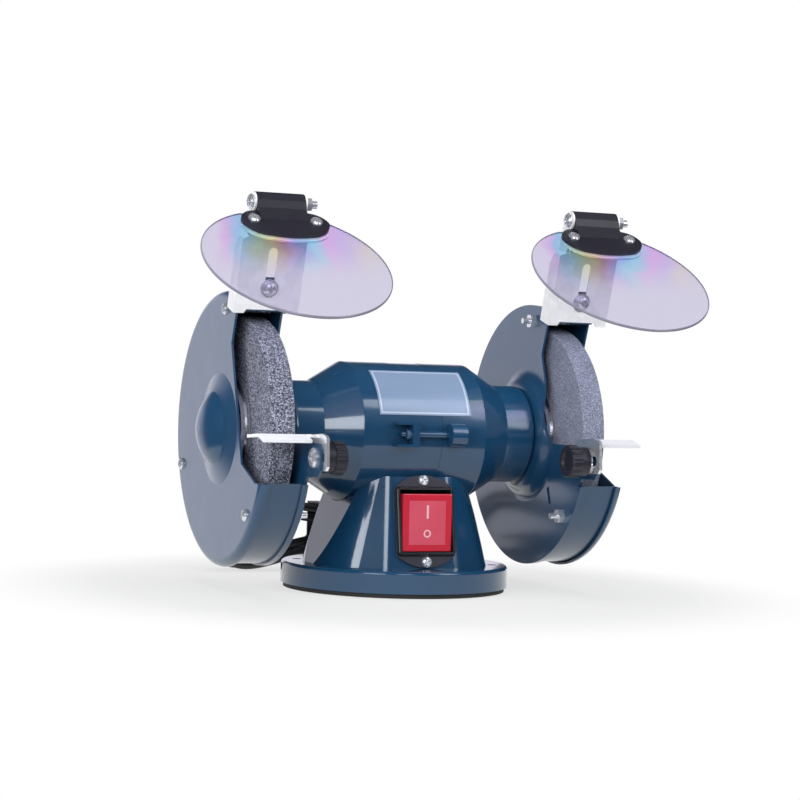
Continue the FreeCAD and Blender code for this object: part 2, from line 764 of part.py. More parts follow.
mount_screws = []
for angle in (90, 210, 330):
    screw = pan_screw("mount_screw", 2, 9, 3.8, 2.4)
    mount_screws.append(place(screw, "neck_end + 0.1 + sheet", f"24 * cos({angle})",
                              f"shaft_height + 24 * sin({angle})"))
mount_screws += [mirrored("mount_mirror", screw) for screw in mount_screws]
keep(group("housing_screw_set", saddle_screws + mount_screws), "housing_screws")


# Shield brackets. Their own frame has the front face at y = 0 and the bottom edge at z = 0.
def on_bracket(thing, x="bracket_x"):
    return place(thing, x, "-bracket_y", "shaft_height + bracket_z", Vector(1, 0, 0), "bracket_lean")


def bracket_face(sketch):
    outline(sketch, [("-bracket_half", 0), (-15, 0), (-13.5, 2.6), (13.5, 2.6), (15, 0), ("bracket_half", 0),
                     ("bracket_half", "shoulder"), ("neck_half", "shoulder + 2"), ("neck_half", "plate_top"),
                     ("-neck_half", "plate_top"), ("-neck_half", "shoulder + 2"), ("-bracket_half", "shoulder")])
    slot(sketch, 0, "slot_low", 0, "slot_high", "slot_half")


def bracket_ear(sketch):
    low_y = "hinge_back - lobe * cos(45)"
    low_z = "hinge_up - lobe * sin(45)"
    outline(sketch, [(0, "shoulder + 2"), (11, "shoulder + 2"), (11, "hinge_up - 9"),
                     ("hinge_back + lobe", "hinge_up", "hinge_back", "hinge_up + lobe"),
                     ("hinge_back - lobe", "hinge_up", low_y, low_z), ("hinge_back", "hinge_up - lobe"),
                     ("hinge_back + 2.5", "hinge_up - 9"), ("hinge_back + 2.5", "plate_top + 1"),
                     ("bracket_sheet", "plate_top"), (0, "plate_top")])
    circle(sketch, "hinge_back", "hinge_up", "hinge_radius + 0.02")


def bracket_flange(sketch):
    outline(sketch, [(0, 0), ("flange_depth", 0), ("flange_depth", "shoulder - 8"), ("flange_depth - 5", "shoulder"),
                     (0, "shoulder")])


def shield_bracket():
    body = new_body("bracket")
    pad(body, "XZ_Plane", bracket_face, "bracket_sheet", "-bracket_sheet")
    for low in ("bracket_half - bracket_sheet", "-bracket_half"):
        pad(body, "YZ_Plane", bracket_flange, "bracket_sheet", low)
    for low in ("neck_half - bracket_sheet", "-neck_half"):
        pad(body, "YZ_Plane", bracket_ear, "bracket_sheet", low)
    return on_bracket(body)


# The screw in the slot stays with the guard. It lies along the bracket's own Y, head to the front.
def bracket_screw():
    parts = [pan_screw("slot_screw", 2.5, 11, 4.6, 3), ring("slot_washer", 2.55, 6, -1, 0),
             hex_nut("slot_nut", 8, 3.8, 2.55)]
    lean = Rotation(Vector(1, 0, 0), size("bracket_lean"))
    to_front = lean.multiply(Rotation(Vector(0, 0, 1), -90))
    for part, back in zip(parts, (-1.1, -1.1, 2.8 + 3.8)):
        spot_y, spot_z = bracket_point(back, "slot_low")
        place(part, "bracket_x", spot_y, f"shaft_height + {spot_z}")
        part.Placement = Placement(part.Placement.Base, to_front)
    return group("slot_screw_set", parts)


# The hinge bolt has its head on the -X side of both brackets.
def hinge_bolt(side):
    bolt = pan_screw("hinge_pin", "hinge_radius", "2 * neck_half + 8", 5, 3.2)
    nut = hex_nut("hinge_nut", 8, 4, "hinge_radius + 0.05")
    spot_y, spot_z = bracket_point("hinge_back", "hinge_up")
    centre = f"{side} * bracket_x"
    place(bolt, f"{centre} - neck_half", spot_y, f"shaft_height + {spot_z}", Vector(0, 0, 1), 180)
    place(nut, f"{centre} + neck_half", spot_y, f"shaft_height + {spot_z}")
    return group("hinge_bolt_set", [bolt, nut])


both_sides("shield_bracket", shield_bracket())
slot_screw = bracket_screw()
keep(group("slot_screws", [slot_screw, mirrored("slot_screw_mirror", slot_screw)]), "bracket_screws")
keep(hinge_bolt(1), "right_hinge_bolt")
keep(hinge_bolt(-1), "left_hinge_bolt")


# Shield, clamp and backing hang on the hinge. Their own frame has -Y down the slope and the hinge at its origin.
def on_hinge(thing):
    spot_y, spot_z = bracket_point("hinge_back", "hinge_up")
    return place(thing, "bracket_x", spot_y, f"shaft_height + {spot_z}", Vector(1, 0, 0), "shield_slope")


def clamp_holes(sketch):
    for side in (-1, 1):
        circle(sketch, f"{side} * clamp_screw_x", "-clamp_screw_out", 2.1)


# The outline that clamp and backing share, with a wide curved front and two round shoulders
def clamp_outline(sketch, down=0):
    back = f"-clamp_back - {down}"
    middle = f"-clamp_middle - {down}"
    front = f"-clamp_front - {down}"
    outline(sketch, [("clamp_half", back, 25.6, f"{back} - 3.6"), ("clamp_wide", middle, 25, f"{front} + 7.2"),
                     (13, f"{front} + 1.5", 0, front), (-13, f"{front} + 1.5", -25, f"{front} + 7.2"),
                     ("-clamp_wide", middle, -25.6, f"{back} - 3.6"), ("-clamp_half", back)])


def shield_clamp():
    body = new_body("clamp")
    low = "-shield_drop"
    high = "clamp_thick - shield_drop"
    web = [(0, "clamp_barrel", "clamp_barrel", 0), (0, "-clamp_barrel", -4.9, -4.27), ("-clamp_barrel", 0),
           ("-clamp_back - 0.5", low), (-17, low), (-17, high), (-8.5, 1.2), (-4.6, 4.6)]
    pad(body, "YZ_Plane", lambda s: outline(s, web), "2 * clamp_half", "-clamp_half")
    pad(body, "XY_Plane", clamp_outline, "clamp_thick", low)
    pocket(body, "YZ_Plane", lambda s: circle(s, 0, 0, "hinge_radius + 0.06"))
    pocket(body, "XY_Plane", clamp_holes)
    return on_hinge(body)


# Both lenses hang a little towards -X of their clamps. side is -1 for the one that is mirrored afterwards.
def eye_shield(side):
    body = new_body("shield")

    def lens(sketch):
        middle = f"{-side} * shield_shift"
        chord = "sqrt(shield_radius ^ 2 - (shield_out - shield_cut) ^ 2)"
        outline(sketch, [(f"{middle} - {chord}", "-shield_cut", middle, "-shield_out - shield_radius"),
                         (f"{middle} + {chord}", "-shield_cut")])

    pad(body, "XY_Plane", lens, "shield_thick", "-shield_drop - shield_thick")
    pocket(body, "XY_Plane", clamp_holes)
    return on_hinge(body)


def shield_backing():
    body = new_body("backing")
    pad(body, "XY_Plane", lambda s: clamp_outline(s, 2), 1.2, "-shield_drop - shield_thick - 1.2")
    pocket(body, "XY_Plane", clamp_holes)
    return on_hinge(body)


def clamp_screws():
    parts = []
    slope = Rotation(Vector(1, 0, 0), size("shield_slope"))
    upward = slope.multiply(Rotation(Vector(0, 1, 0), -90))
    spot_y, spot_z = bracket_point("hinge_back", "hinge_up")
    for side in (-1, 1):
        screw = pan_screw("clamp_screw", 2, 12, 4, 2.6)
        nut = hex_nut("clamp_nut", 7, 3.2, 2.04)
        for part, drop in ((screw, "shield_drop - clamp_thick"), (nut, "shield_drop + shield_thick + 1.2 + 3.2")):
            local = Vector(size(f"{side} * clamp_screw_x"), -size("clamp_screw_out"), -size(drop))
            hinge = Vector(size("bracket_x"), size(spot_y), size(f"shaft_height + {spot_z}"))
            part.Placement = Placement(hinge + slope.multVec(local), upward)
            parts.append(part)
    return group("clamp_screw_set", parts)


both_sides("shield_clamp", shield_clamp())
keep(eye_shield(1), "right_eye_shield")
keep(mirrored("left_eye_shield_mirror", eye_shield(-1)), "left_eye_shield")
both_sides("shield_backing", shield_backing())
both_sides("shield_screws", clamp_screws())


# Tool rests. Their own frame has the clamping bolt along X through its origin.
def on_rest(thing):
    return place(thing, 0, "-rest_y", "shaft_height - rest_z", Vector(1, 0, 0), "rest_slope")


# A flat plate with an inner and an outer arm, a lip bent down in front, and an upright flange with the bolt's slot.
def tool_rest():
    body = new_body("rest")
    flange_x = "disc_x - 0.1 - rest_sheet"
    bend = 7.5
    table = [(flange_x, 5), (101, 5), (101, bend), ("rest_outer", bend), ("rest_outer", 28), ("rest_outer - 2", 30),
             ("rest_outer - 8", 30), ("rest_outer - 10", 28), ("rest_outer - 10", 17.5), (101, 17.5), (101, 15),
             (flange_x, 15)]
    lip = [(bend, "rest_top"), ("-lip_front", "lip_top"), ("0.7 - lip_front", "lip_top - 1.9"),
           (bend, "rest_top - rest_sheet")]

    def upright(sketch):
        outline(sketch, [(-17, -6), (-14.5, -8.5), (13.5, -8.5), (16, -6), (16, "rest_top"), (-9, "rest_top"),
                         (-15, "rest_top - 1.6"), (-17, "rest_top - 3.1")])
        slot(sketch, -10, 0, 8, 0, "rest_bolt + 0.15")

    pad(body, "XY_Plane", lambda s: outline(s, table), "rest_sheet", "rest_top - rest_sheet")
    pad(body, "YZ_Plane", lambda s: outline(s, lip), "rest_outer - 101", 101)
    pad(body, "YZ_Plane", upright, "rest_sheet", flange_x)
    return on_rest(body)


def rest_knob():
    body = new_body("knob")
    turned(body, [("knob_from + 2", 0), ("knob_from + 2", 6), ("knob_from", 7), ("knob_from", "knob_radius - 1.2"),
                  ("knob_from + 1.2", "knob_radius"), ("knob_to - 1", "knob_radius"), ("knob_to", "knob_radius - 1"),
                  ("knob_to", "knob_collar"), ("collar_to", "knob_collar"), ("collar_to", "rest_bolt + 0.06"),
                  ("knob_from + 3", "rest_bolt + 0.06"), ("knob_from + 3", 0)])
    groove = pocket(body, "YZ_Plane", lambda s: circle(s, "knob_radius + 0.5", 0, 1.5),
                    "knob_to - knob_from", "knob_to")
    pattern = body.newObject("PartDesign::PolarPattern", "knob_grooves")
    pattern.Originals = [groove]
    pattern.Axis = (groove.Profile[0], ["N_Axis"])
    pattern.Angle = 360
    pattern.Occurrences = 18
    body.Tip = pattern
    doc.recompute()
    return on_rest(body)


both_sides("tool_rest", tool_rest())
both_sides("rest_washer", on_rest(ring("rest_ring", "rest_bolt + 0.08", 8, "collar_to + 0.1", "collar_to + 1.6")))
both_sides("rest_knob", rest_knob())
rest_bolt = pan_screw("rest_pin", "rest_bolt", "disc_x + sheet - knob_from - 4", 6.5, 3)
place(rest_bolt, "disc_x + sheet", "-rest_y", "shaft_height - rest_z")
keep(group("rest_bolt_set", [rest_bolt, mirrored("rest_bolt_mirror", rest_bolt)]), "rest_bolts")


# Switch, drawn in the panel's frame: outward is -Y, up is Z, the panel's surface is y = 0.
def switch_face():
    disc = rod("face_disc", "face_radius", "face_thick", 0, 0, 0, Vector(1, 0, 0), 90)
    strip = box("face_strip", "-face_half", "face_half", -10, 10, -40, 40)
    plate = doc.addObject("Part::Common", "face_plate")
    plate.Base = disc
    plate.Tool = strip
    tools = [box("face_window", "-(well_half + 1.2)", "well_half + 1.2", -10, 10,
                 "-(well_tall + 1.6)", "well_tall + 1.6")]
    tools += [rod("face_hole", 1.6, 20, 0, 10, f"{side} * face_screw_up", Vector(1, 0, 0), 90) for side in (-1, 1)]
    doc.recompute()
    return on_panel(cut("face_cut", plate, tools))


def frame_block(sketch, half, tall):
    outline(sketch, [(f"-({half})", f"-({tall})"), (half, f"-({tall})"), (half, tall), (f"-({half})", tall)])


def switch_frame():
    body = new_body("frame")
    pad(body, "XZ_Plane", lambda s: frame_block(s, "bezel_half", "bezel_tall"), "bezel_out - face_thick - 0.05",
        "face_thick + 0.05")
    rounded(body, 2.5, lambda e: abs(e.Vertexes[0].Y - e.Vertexes[-1].Y) > 1.5)
    rounded(body, 1.5, lambda e: abs(e.CenterOfMass.y + size("bezel_out")) < 1e-3)
    pad(body, "XZ_Plane", lambda s: frame_block(s, "well_half + 1", "well_tall + 1.4"), 19, -14)
    pocket(body, "XZ_Plane", lambda s: frame_block(s, "well_half", "well_tall"), 19, 8)
    pocket(body, "YZ_Plane", lambda s: circle(s, "pivot_in", 0, 2.06))
    return on_panel(body)


# The rocker turns about X through the pivot, and rests with its lower end pressed in.
def switch_rocker():
    body = new_body("rocker")
    front = "-rocker_front"
    profile = [(front, "-rocker_tall"), (front, "rocker_tall"), (-5, "rocker_tall"), (3, 8), (3, -8),
               (-5, "-rocker_tall")]
    pad(body, "YZ_Plane", lambda s: outline(s, profile), "2 * rocker_half", "-rocker_half")
    rounded(body, 0.8, lambda e: abs(e.CenterOfMass.y + size("rocker_front")) < 1e-3)
    pad(body, "YZ_Plane", lambda s: circle(s, 0, 0, 2), "2 * well_half + 1.6", "-(well_half + 0.8)")
    pocket(body, "XZ_Plane", lambda s: frame_block(s, "window_half + 0.1", "window_tall + 0.1"), 1.6, "rocker_front")
    return tilt_rocker(body)


def switch_window():
    body = new_body("window")
    pad(body, "XZ_Plane", lambda s: frame_block(s, "window_half", "window_tall"), 1.5, "rocker_front - 1.55")
    return tilt_rocker(body)


def tilt_rocker(body):
    body.Placement = Placement(Vector(0, size("pivot_in"), 0), Rotation(Vector(1, 0, 0), size("rocker_tilt")))
    return on_panel(body)


def face_screws():
    parts = []
    for side in (-1, 1):
        screw = pan_screw("face_screw", 1.5, 6, 3.7, 2.2)
        spot = Vector(0, -size("face_thick"), side * size("face_screw_up"))
        screw.Placement = Placement(spot, Rotation(Vector(0, 0, 1), -90))
        parts.append(on_panel(screw))
    return group("face_screw_set", parts)


keep(switch_face(), "switch_plate")
keep(switch_frame(), "switch_frame")
keep(switch_rocker(), "switch_rocker")
keep(switch_window(), "switch_window")
keep(face_screws(), "switch_screws")


# Strain relief on the rear boss: a collar, a shank in the wall and a tapered sleeve.
def strain_relief():
    body = new_body("gland")
    turned(body, [(-14, 0), (-14, 5), (0, 5), (0, 7.2), (3.5, 7.2), (4.5, 6.2), ("gland_length", "cord_radius + 1.2"),
                  ("gland_length", 0)])
    return place(body, "gland_x", "gland_face", "gland_z", Vector(0, 0, 1), 90)


keep(strain_relief(), "strain_relief")


# Cord lead: straight runs with an arc at each turn, each arc as large as its runs allow.
ARC_SHARE = 0.45


def rounded_path(route):
    edges = []
    radii = []
    start = route[0]
    for before, corner, after in zip(route, route[1:], route[2:]):
        back = (before - corner)
        ahead = (after - corner)
        turn = math.pi - back.getAngle(ahead)
        reach = ARC_SHARE * min(back.Length, ahead.Length)
        radii.append(reach / math.tan(turn / 2))
        first = corner + back.normalize() * reach
        last = corner + ahead.normalize() * reach
        centre_way = (back + ahead).normalize()
        middle = corner + centre_way * (radii[-1] / math.cos(turn / 2) - radii[-1])
        edges.append(Part.LineSegment(start, first).toShape())
        edges.append(Part.Arc(first, middle, last).toShape())
        start = last
    edges.append(Part.LineSegment(start, route[-1]).toShape())
    return Part.Wire(edges), radii


def tube(path, at, along):
    profile = Part.Wire(Part.makeCircle(size("cord_radius"), at, along))
    shell = Part.BRepOffsetAPI.MakePipeShell(path)
    shell.add(profile)
    shell.build()
    shell.makeSolid()
    return shell.shape()


def cord_piece(name, shape):
    piece = doc.addObject("Part::Feature", name)
    piece.Shape = shape
    return piece


LEAD_RUN = 18.5
gland_tip = Vector(size("gland_x"), size("gland_face + gland_length"), size("gland_z"))
lead_route = [gland_tip]
for heading, fall in ((90, 0), (120, 0.4), (150, 0.4), (180, 0.2)):
    way = Vector(math.cos(math.radians(heading)), math.sin(math.radians(heading)), 0)
    lead_route.append(lead_route[-1] + way * LEAD_RUN - Vector(0, 0, fall))
lead_route[-1].z = lead_route[-2].z
lead_path, lead_radii = rounded_path(lead_route)
lead_solid = tube(lead_path, gland_tip, Vector(0, 1, 0))
keep(cord_piece("lead", lead_solid), "cord_lead")
print("lead radii", [round(r, 1) for r in lead_radii], "length", round(lead_path.Length, 1),
      "volume ratio", round(lead_solid.Volume / (math.pi * size("cord_radius") ** 2 * lead_path.Length), 4))


# Cord hank: runs along X drawn in at the waist, in two layers that spiral in and out again, standing on
# the bench behind the base. The waist of the first top run carries on from the lead.
# A way-point is (u along, v up, w back from the hank's centre, tangent u, tangent v).
def hank_way_points(centre_height):
    run = size("hank_run")
    step = size("hank_step")
    outer = size("hank_outer")
    waist = size("hank_waist")
    plug_layer = 20
    lowest = centre_height - size("cord_radius") - 0.02
    heights = [outer, outer - step / 2, outer - step, outer - 1.5 * step, outer - step, outer - step / 2, outer,
               lowest]
    layers = [(-step, -step, 0), (0, 0, 0), (0, 0, 0), (0, step / 2, step), (step, step, step), (step, step, step),
              (step, step, plug_layer), (plug_layer, plug_layer, plug_layer)]
    points = []
    for k, height in enumerate(heights):
        up = 1 if k % 2 == 0 else -1
        begin, middle, end = layers[k]
        if k > 0:
            points.append((up * run, up * height, begin, -up, 0))
        if k < len(heights) - 1:
            points.append((0, up * (height - waist), middle, -up, 0))
            after = heights[k + 1]
            points.append((-up * run, up * height, end, -up, 0))
            points.append((-up * (run + (height + after) / 2), up * (height - after) / 2, end, 0, -up))
    tail = -0.42 * run
    plug_height = PLUG_HALF + 0.02 - centre_height
    points.append((tail, plug_height, plug_layer, 1, 0))
    points.append((tail + 2 * size("cord_radius"), plug_height, plug_layer, 1, 0))
    return points


def biarc(start, start_way, end, end_way):
    gap = end - start
    both = start_way + end_way
    if (gap.normalize() - start_way).Length < 1e-6 and (end_way - start_way).Length < 1e-6:
        return [Part.LineSegment(start, end).toShape()]
    gap = end - start
    square = 2 * (1 - start_way.dot(end_way))
    if abs(square) < 1e-9:
        reach = gap.dot(gap) / (4 * gap.dot(end_way))
    else:
        along = gap.dot(both)
        reach = (-along + math.sqrt(along * along + square * gap.dot(gap))) / square
    joint = (start + end + (start_way - end_way) * reach) * 0.5
    edges = []
    for low, way, high in ((start, start_way, joint), (joint, None, end)):
        edges.append(arc_from(low, way, high) if way else arc_from(high, end_way * -1, low, True))
    return edges


# The arc that leaves one point along a direction and ends at another.
def arc_from(low, way, high, turned_round=False):
    chord = high - low
    across = chord - way * chord.dot(way)
    across.normalize()
    radius = chord.dot(chord) / (2 * chord.dot(across))
    centre = low + across * radius
    middle = centre + ((low - centre) + (high - centre)).normalize() * radius
    if (low - centre).getAngle(high - centre) > math.pi - 1e-6:
        middle = centre + way * radius
    HANK_RADII.append(radius)
    return (Part.Arc(high, middle, low) if turned_round else Part.Arc(low, middle, high)).toShape()


PLUG_HALF = 13
HANK_RADII = []
hank_centre = lead_route[-1] + Vector(0, size("hank_step"), -size("hank_outer - hank_waist"))
way_points = hank_way_points(hank_centre.z)
places = [hank_centre + Vector(u, w, v) for u, v, w, tu, tv in way_points]
ways = [Vector(tu, 0, tv) for u, v, w, tu, tv in way_points]
hank_edges = []
for low, way, high, next_way in zip(places, ways, places[1:], ways[1:]):
    hank_edges += biarc(low, way, high, next_way)
hank_path = Part.Wire(hank_edges)
hank_solid = tube(hank_path, places[0], ways[0])
keep(cord_piece("hank", hank_solid), "cord_hank")


def least_gap(path, diameter):
    points = path.discretize(Distance=1.5)
    skip = int(4 * diameter / 1.5)
    gap = min((points[i] - points[j]).Length for i in range(len(points)) for j in range(i + skip, len(points)))
    return gap - diameter


print("hank length", round(hank_path.Length, 1), "tightest", round(min(HANK_RADII), 1),
      "least gap", round(least_gap(hank_path, 2 * size("cord_radius")), 2),
      "volume ratio", round(hank_solid.Volume / (math.pi * size("cord_radius") ** 2 * hank_path.Length), 4))


# Two-pin plug lying beside the hank, and the tie round the hank's waist.
def plug_body():
    body = new_body("plug")
    turned(body, [(0, 0), (0, "cord_radius + 0.8"), (16, 5.2), (16, 0)])

    def side_view(sketch):
        outline(sketch, [(14, -6), (20, -12.6), (46, -PLUG_HALF), (49, -10), (49, 10), (46, PLUG_HALF), (20, 12.6),
                         (14, 6)])

    pad(body, "XZ_Plane", side_view, 14, -7)
    end = places[-1]
    body.Placement = Placement(end, Rotation())
    return body


def plug_pins():
    end = places[-1]
    pins = []
    for side in (-1, 1):
        pin = rod("pin", 2, 19, 0, 0, 0, Vector(0, 1, 0), 90)
        for name in ("x", "y", "z"):
            pin.setExpression(f"Placement.Base.{name}", None)
        pin.Placement = Placement(end + Vector(49, 0, 9.3 * side), Rotation(Vector(0, 1, 0), 90))
        pins.append(pin)
    return group("pins", pins)


def hank_tie():
    high = size("hank_outer - hank_waist + cord_radius") + 0.6
    low = size("hank_outer - hank_step / 2 - hank_waist + cord_radius") + 0.6
    near = size("hank_step + cord_radius") + 0.6
    band = 1.2
    outer = box("tie_outer", -4, 4, -near - band, near + band, -low - band, high + band)
    inner = box("tie_inner", -10, 10, -near, near, -low, high)
    doc.recompute()
    tie = cut("tie_loop", outer, [inner])
    tie.Placement = Placement(hank_centre, Rotation())
    return tie


keep(plug_body(), "plug_body")
keep(plug_pins(), "plug_pins")
keep(hank_tie(), "hank_tie")

# Check and write
doc.recompute()
for thing in doc.Objects:
    if "Invalid" in thing.State or "Error" in thing.State:
        raise RuntimeError(f"{thing.Label} failed: {thing.State}")
os.makedirs("parts", exist_ok=True)
for node in nodes:
    if node.Shape.isNull() or not node.Shape.isValid():
        raise RuntimeError(f"{node.Label} has no valid shape")
for node in nodes:
    node.Shape.exportStep(f"parts/{node.Label}.step")
print(len(nodes), "nodes")
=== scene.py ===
import json
import math

import bmesh
import bpy
from mathutils import Matrix, Vector


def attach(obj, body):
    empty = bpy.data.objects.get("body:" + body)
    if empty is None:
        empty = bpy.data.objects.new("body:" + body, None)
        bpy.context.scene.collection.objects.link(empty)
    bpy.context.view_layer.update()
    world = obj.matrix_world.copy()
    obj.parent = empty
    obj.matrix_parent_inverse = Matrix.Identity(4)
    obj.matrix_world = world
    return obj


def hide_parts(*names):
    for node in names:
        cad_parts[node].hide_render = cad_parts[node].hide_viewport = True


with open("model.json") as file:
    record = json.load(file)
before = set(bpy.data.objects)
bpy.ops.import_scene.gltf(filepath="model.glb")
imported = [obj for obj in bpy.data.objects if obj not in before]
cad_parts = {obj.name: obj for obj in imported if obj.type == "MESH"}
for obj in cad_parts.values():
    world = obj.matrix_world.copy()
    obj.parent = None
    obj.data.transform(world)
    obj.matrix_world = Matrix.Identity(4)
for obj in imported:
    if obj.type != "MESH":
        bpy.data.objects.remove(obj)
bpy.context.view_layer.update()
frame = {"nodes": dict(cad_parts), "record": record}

scene = bpy.context.scene
nodes = frame["nodes"]
record = frame["record"]


# camera, at the photograph's angle
cameraView = {"place": (-0.61213, -1.41833, 0.15172), "yaw": 23.3677, "pitch": -0.8701, "roll": 1.7862,
              "lens": 101.71, "sensor": 36, "far": 20}


def makeCamera(v):
    yaw, pitch, roll = (math.radians(v[key]) for key in ("yaw", "pitch", "roll"))
    ahead = Vector((math.sin(yaw) * math.cos(pitch), math.cos(yaw) * math.cos(pitch), math.sin(pitch)))
    level = Vector((math.cos(yaw), -math.sin(yaw), 0))
    upright = level.cross(ahead)
    right = math.cos(roll) * level + math.sin(roll) * upright
    up = math.cos(roll) * upright - math.sin(roll) * level
    data = bpy.data.cameras.new("photoCamera")
    data.sensor_width = v["sensor"]
    data.lens = v["lens"]
    data.clip_end = v["far"]
    camera = bpy.data.objects.new("photoCamera", data)
    turn = Matrix((right, up, -ahead)).transposed().to_4x4()
    camera.matrix_world = Matrix.Translation(v["place"]) @ turn
    scene.collection.objects.link(camera)
    scene.camera = camera


makeCamera(cameraView)
print("camera ready")


# cord: the lead from the strain relief, then the hank's loops by formula
cordValues = {
    "lead": ((0.036, 0.074, 0.046), (0.036, 0.0925, 0.046),
             (0.02675, 0.10852, 0.0456), (0.01073, 0.11777, 0.0452)),
    "radius": 0.0031,
    "length": 1.356,
    "bevelSteps": 5,
    "curveSteps": 8,
    "centre": (-0.00777, 0.12517, 0.0282),
    "run": 0.055,           # half of a straight run
    "outer": 0.028,         # half height of the outer loop
    "step": 0.0074,         # from one loop to the next
    "waist": 0.011,         # drawn in this far under the tie
    "clear": 0.00002,       # last run above the table
    "plugLayer": 0.020,     # last run behind the hank's middle
    "plugHeight": 0.01302,
    "tail": 0.42,           # where the last run turns to the plug, as a share of the run
}


def hankPoints(v):
    run, step, outer, waist = v["run"], v["step"], v["outer"], v["waist"]
    lowest = v["centre"][2] - v["radius"] - v["clear"]
    heights = [outer - step * k / 2 for k in (0, 1, 2, 3, 2, 1, 0)] + [lowest]
    layers = [(-step, -step, 0), (0, 0, 0), (0, 0, 0), (0, step / 2, step), (step,) * 3, (step,) * 3,
              (step, step, v["plugLayer"]), (v["plugLayer"],) * 3]
    eighth = math.radians(22.5)
    bulge = 1 / math.cos(eighth)
    short = math.tan(eighth)
    points = []
    for k, height in enumerate(heights):
        up = 1 if k % 2 == 0 else -1
        begin, middle, end = layers[k]
        if k > 0:
            reach = short * (height + heights[k - 1]) / 2
            points.append((up * (run - reach), up * height, begin))
        if k == len(heights) - 1:
            break
        radius = (height + heights[k + 1]) / 2
        reach = short * radius
        if k > 0:
            points.append((up * reach, up * (height - waist), middle))
        points.append((-up * reach, up * (height - waist), middle))
        points.append((-up * (run - reach), up * height, end))
        for part in (1, 3, 5, 7):     # half turn, four points round it
            angle = eighth * part
            points.append((-up * (run + bulge * radius * math.sin(angle)),
                           up * ((height - heights[k + 1]) / 2 + bulge * radius * math.cos(angle)), end))
    tail = -v["tail"] * run
    drop = v["plugHeight"] - v["centre"][2]
    points.append((tail - short * heights[-1], drop, v["plugLayer"]))
    points.append((tail + 2 * v["radius"], drop, v["plugLayer"]))
    cx, cy, cz = v["centre"]
    return [(cx + along, cy + back, cz + rise) for along, rise, back in points]


def makeCord(v):
    curve = bpy.data.curves.new("mainsCord", "CURVE")
    curve.dimensions = "3D"
    curve.bevel_depth = 1     # each point's radius is then the cord's own
    curve.bevel_resolution = v["bevelSteps"]
    curve.resolution_u = v["curveSteps"]
    curve.use_fill_caps = True
    route = list(v["lead"]) + hankPoints(v)
    spline = curve.splines.new("NURBS")
    spline.points.add(len(route) - 1)
    for point, place in zip(spline.points, route):
        point.co = (*place, 1)
        point.radius = v["radius"]
    spline.order_u = 3
    spline.use_endpoint_u = True
    cord = bpy.data.objects.new("mainsCord", curve)
    scene.collection.objects.link(cord)
    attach(cord, "housing")
    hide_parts("cord_lead", "cord_hank")
    return cord


mainsCord = makeCord(cordValues)
print("cord laid")


# node helpers
def fillInputs(tree, made, values):
    for key, value in values.items():
        if isinstance(value, bpy.types.NodeSocket):
            tree.links.new(value, made.inputs[key])
        else:
            made.inputs[key].default_value = value


def addNode(tree, kind, values=None, **settings):
    made = tree.nodes.new("ShaderNode" + kind)
    for key, value in settings.items():
        setattr(made, key, value)
    fillInputs(tree, made, values or {})
    return made


def addMath(tree, operation, *values):
    return addNode(tree, "Math", dict(enumerate(values)), operation=operation).outputs[0]


def addMap(tree, source, start, stop, low=0.0, high=1.0, kind="SMOOTHSTEP"):
    values = {0: source, 1: start, 2: stop, 3: low, 4: high}
    return addNode(tree, "MapRange", values, interpolation_type=kind).outputs[0]


def addRamp(tree, source, stops):
    ramp = addNode(tree, "ValToRGB", {"Fac": source})
    bar = ramp.color_ramp.elements
    while len(bar) < len(stops):
        bar.new(0.5)
    for stop, (place, colour) in zip(bar, stops):
        stop.position = place
        stop.color = (*colour, 1)
    return ramp.outputs["Color"]


def addMix(tree, fac, first, second, blend="MIX"):
    mix = addNode(tree, "Mix", data_type="RGBA", blend_type=blend)
    for socket, value in ((mix.inputs[0], fac), (mix.inputs[6], first), (mix.inputs[7], second)):
        if isinstance(value, bpy.types.NodeSocket):
            tree.links.new(value, socket)
        else:
            socket.default_value = value if isinstance(value, (int, float)) else (*value[:3], 1)
    return mix.outputs[2]


def objectPlace(tree):
    return addNode(tree, "TexCoord").outputs["Object"]


def newGroup(name, inputs, outputs):
    tree = bpy.data.node_groups.new(name, "ShaderNodeTree")
    for label, kind, value in inputs:
        socket = tree.interface.new_socket(label, in_out="INPUT", socket_type="NodeSocket" + kind)
        socket.default_value = value
    for label, kind in outputs:
        tree.interface.new_socket(label, in_out="OUTPUT", socket_type="NodeSocket" + kind)
    return tree, tree.nodes.new("NodeGroupInput").outputs, tree.nodes.new("NodeGroupOutput").inputs


def placeGroup(tree, group, values):
    made = tree.nodes.new("ShaderNodeGroup")
    made.node_tree = group
    fillInputs(tree, made, values)
    return made.outputs


def newMaterial(name, **shaderValues):
    made = bpy.data.materials.new(name)
    made.use_nodes = True
    tree = made.node_tree
    tree.nodes.clear()
    out = tree.nodes.new("ShaderNodeOutputMaterial")
    shader = tree.nodes.new("ShaderNodeBsdfPrincipled")
    tree.links.new(shader.outputs["BSDF"], out.inputs["Surface"])
    for key, value in shaderValues.items():
        shader.inputs[key.replace("_", " ")].default_value = value
    return made, tree, shader


def showInstead(tree, share, shader, other):     # the other shader, where share is 1
    blend = addNode(tree, "MixShader", {0: share, 1: shader.outputs[0], 2: other.outputs[0]})
    out = next(n for n in tree.nodes if n.type == "OUTPUT_MATERIAL")
    tree.links.new(blend.outputs[0], out.inputs["Surface"])


def bumpInto(tree, shader, height, strength, distance):
    bump = addNode(tree, "Bump", {"Height": height, "Strength": strength, "Distance": distance})
    tree.links.new(bump.outputs["Normal"], shader.inputs["Normal"])


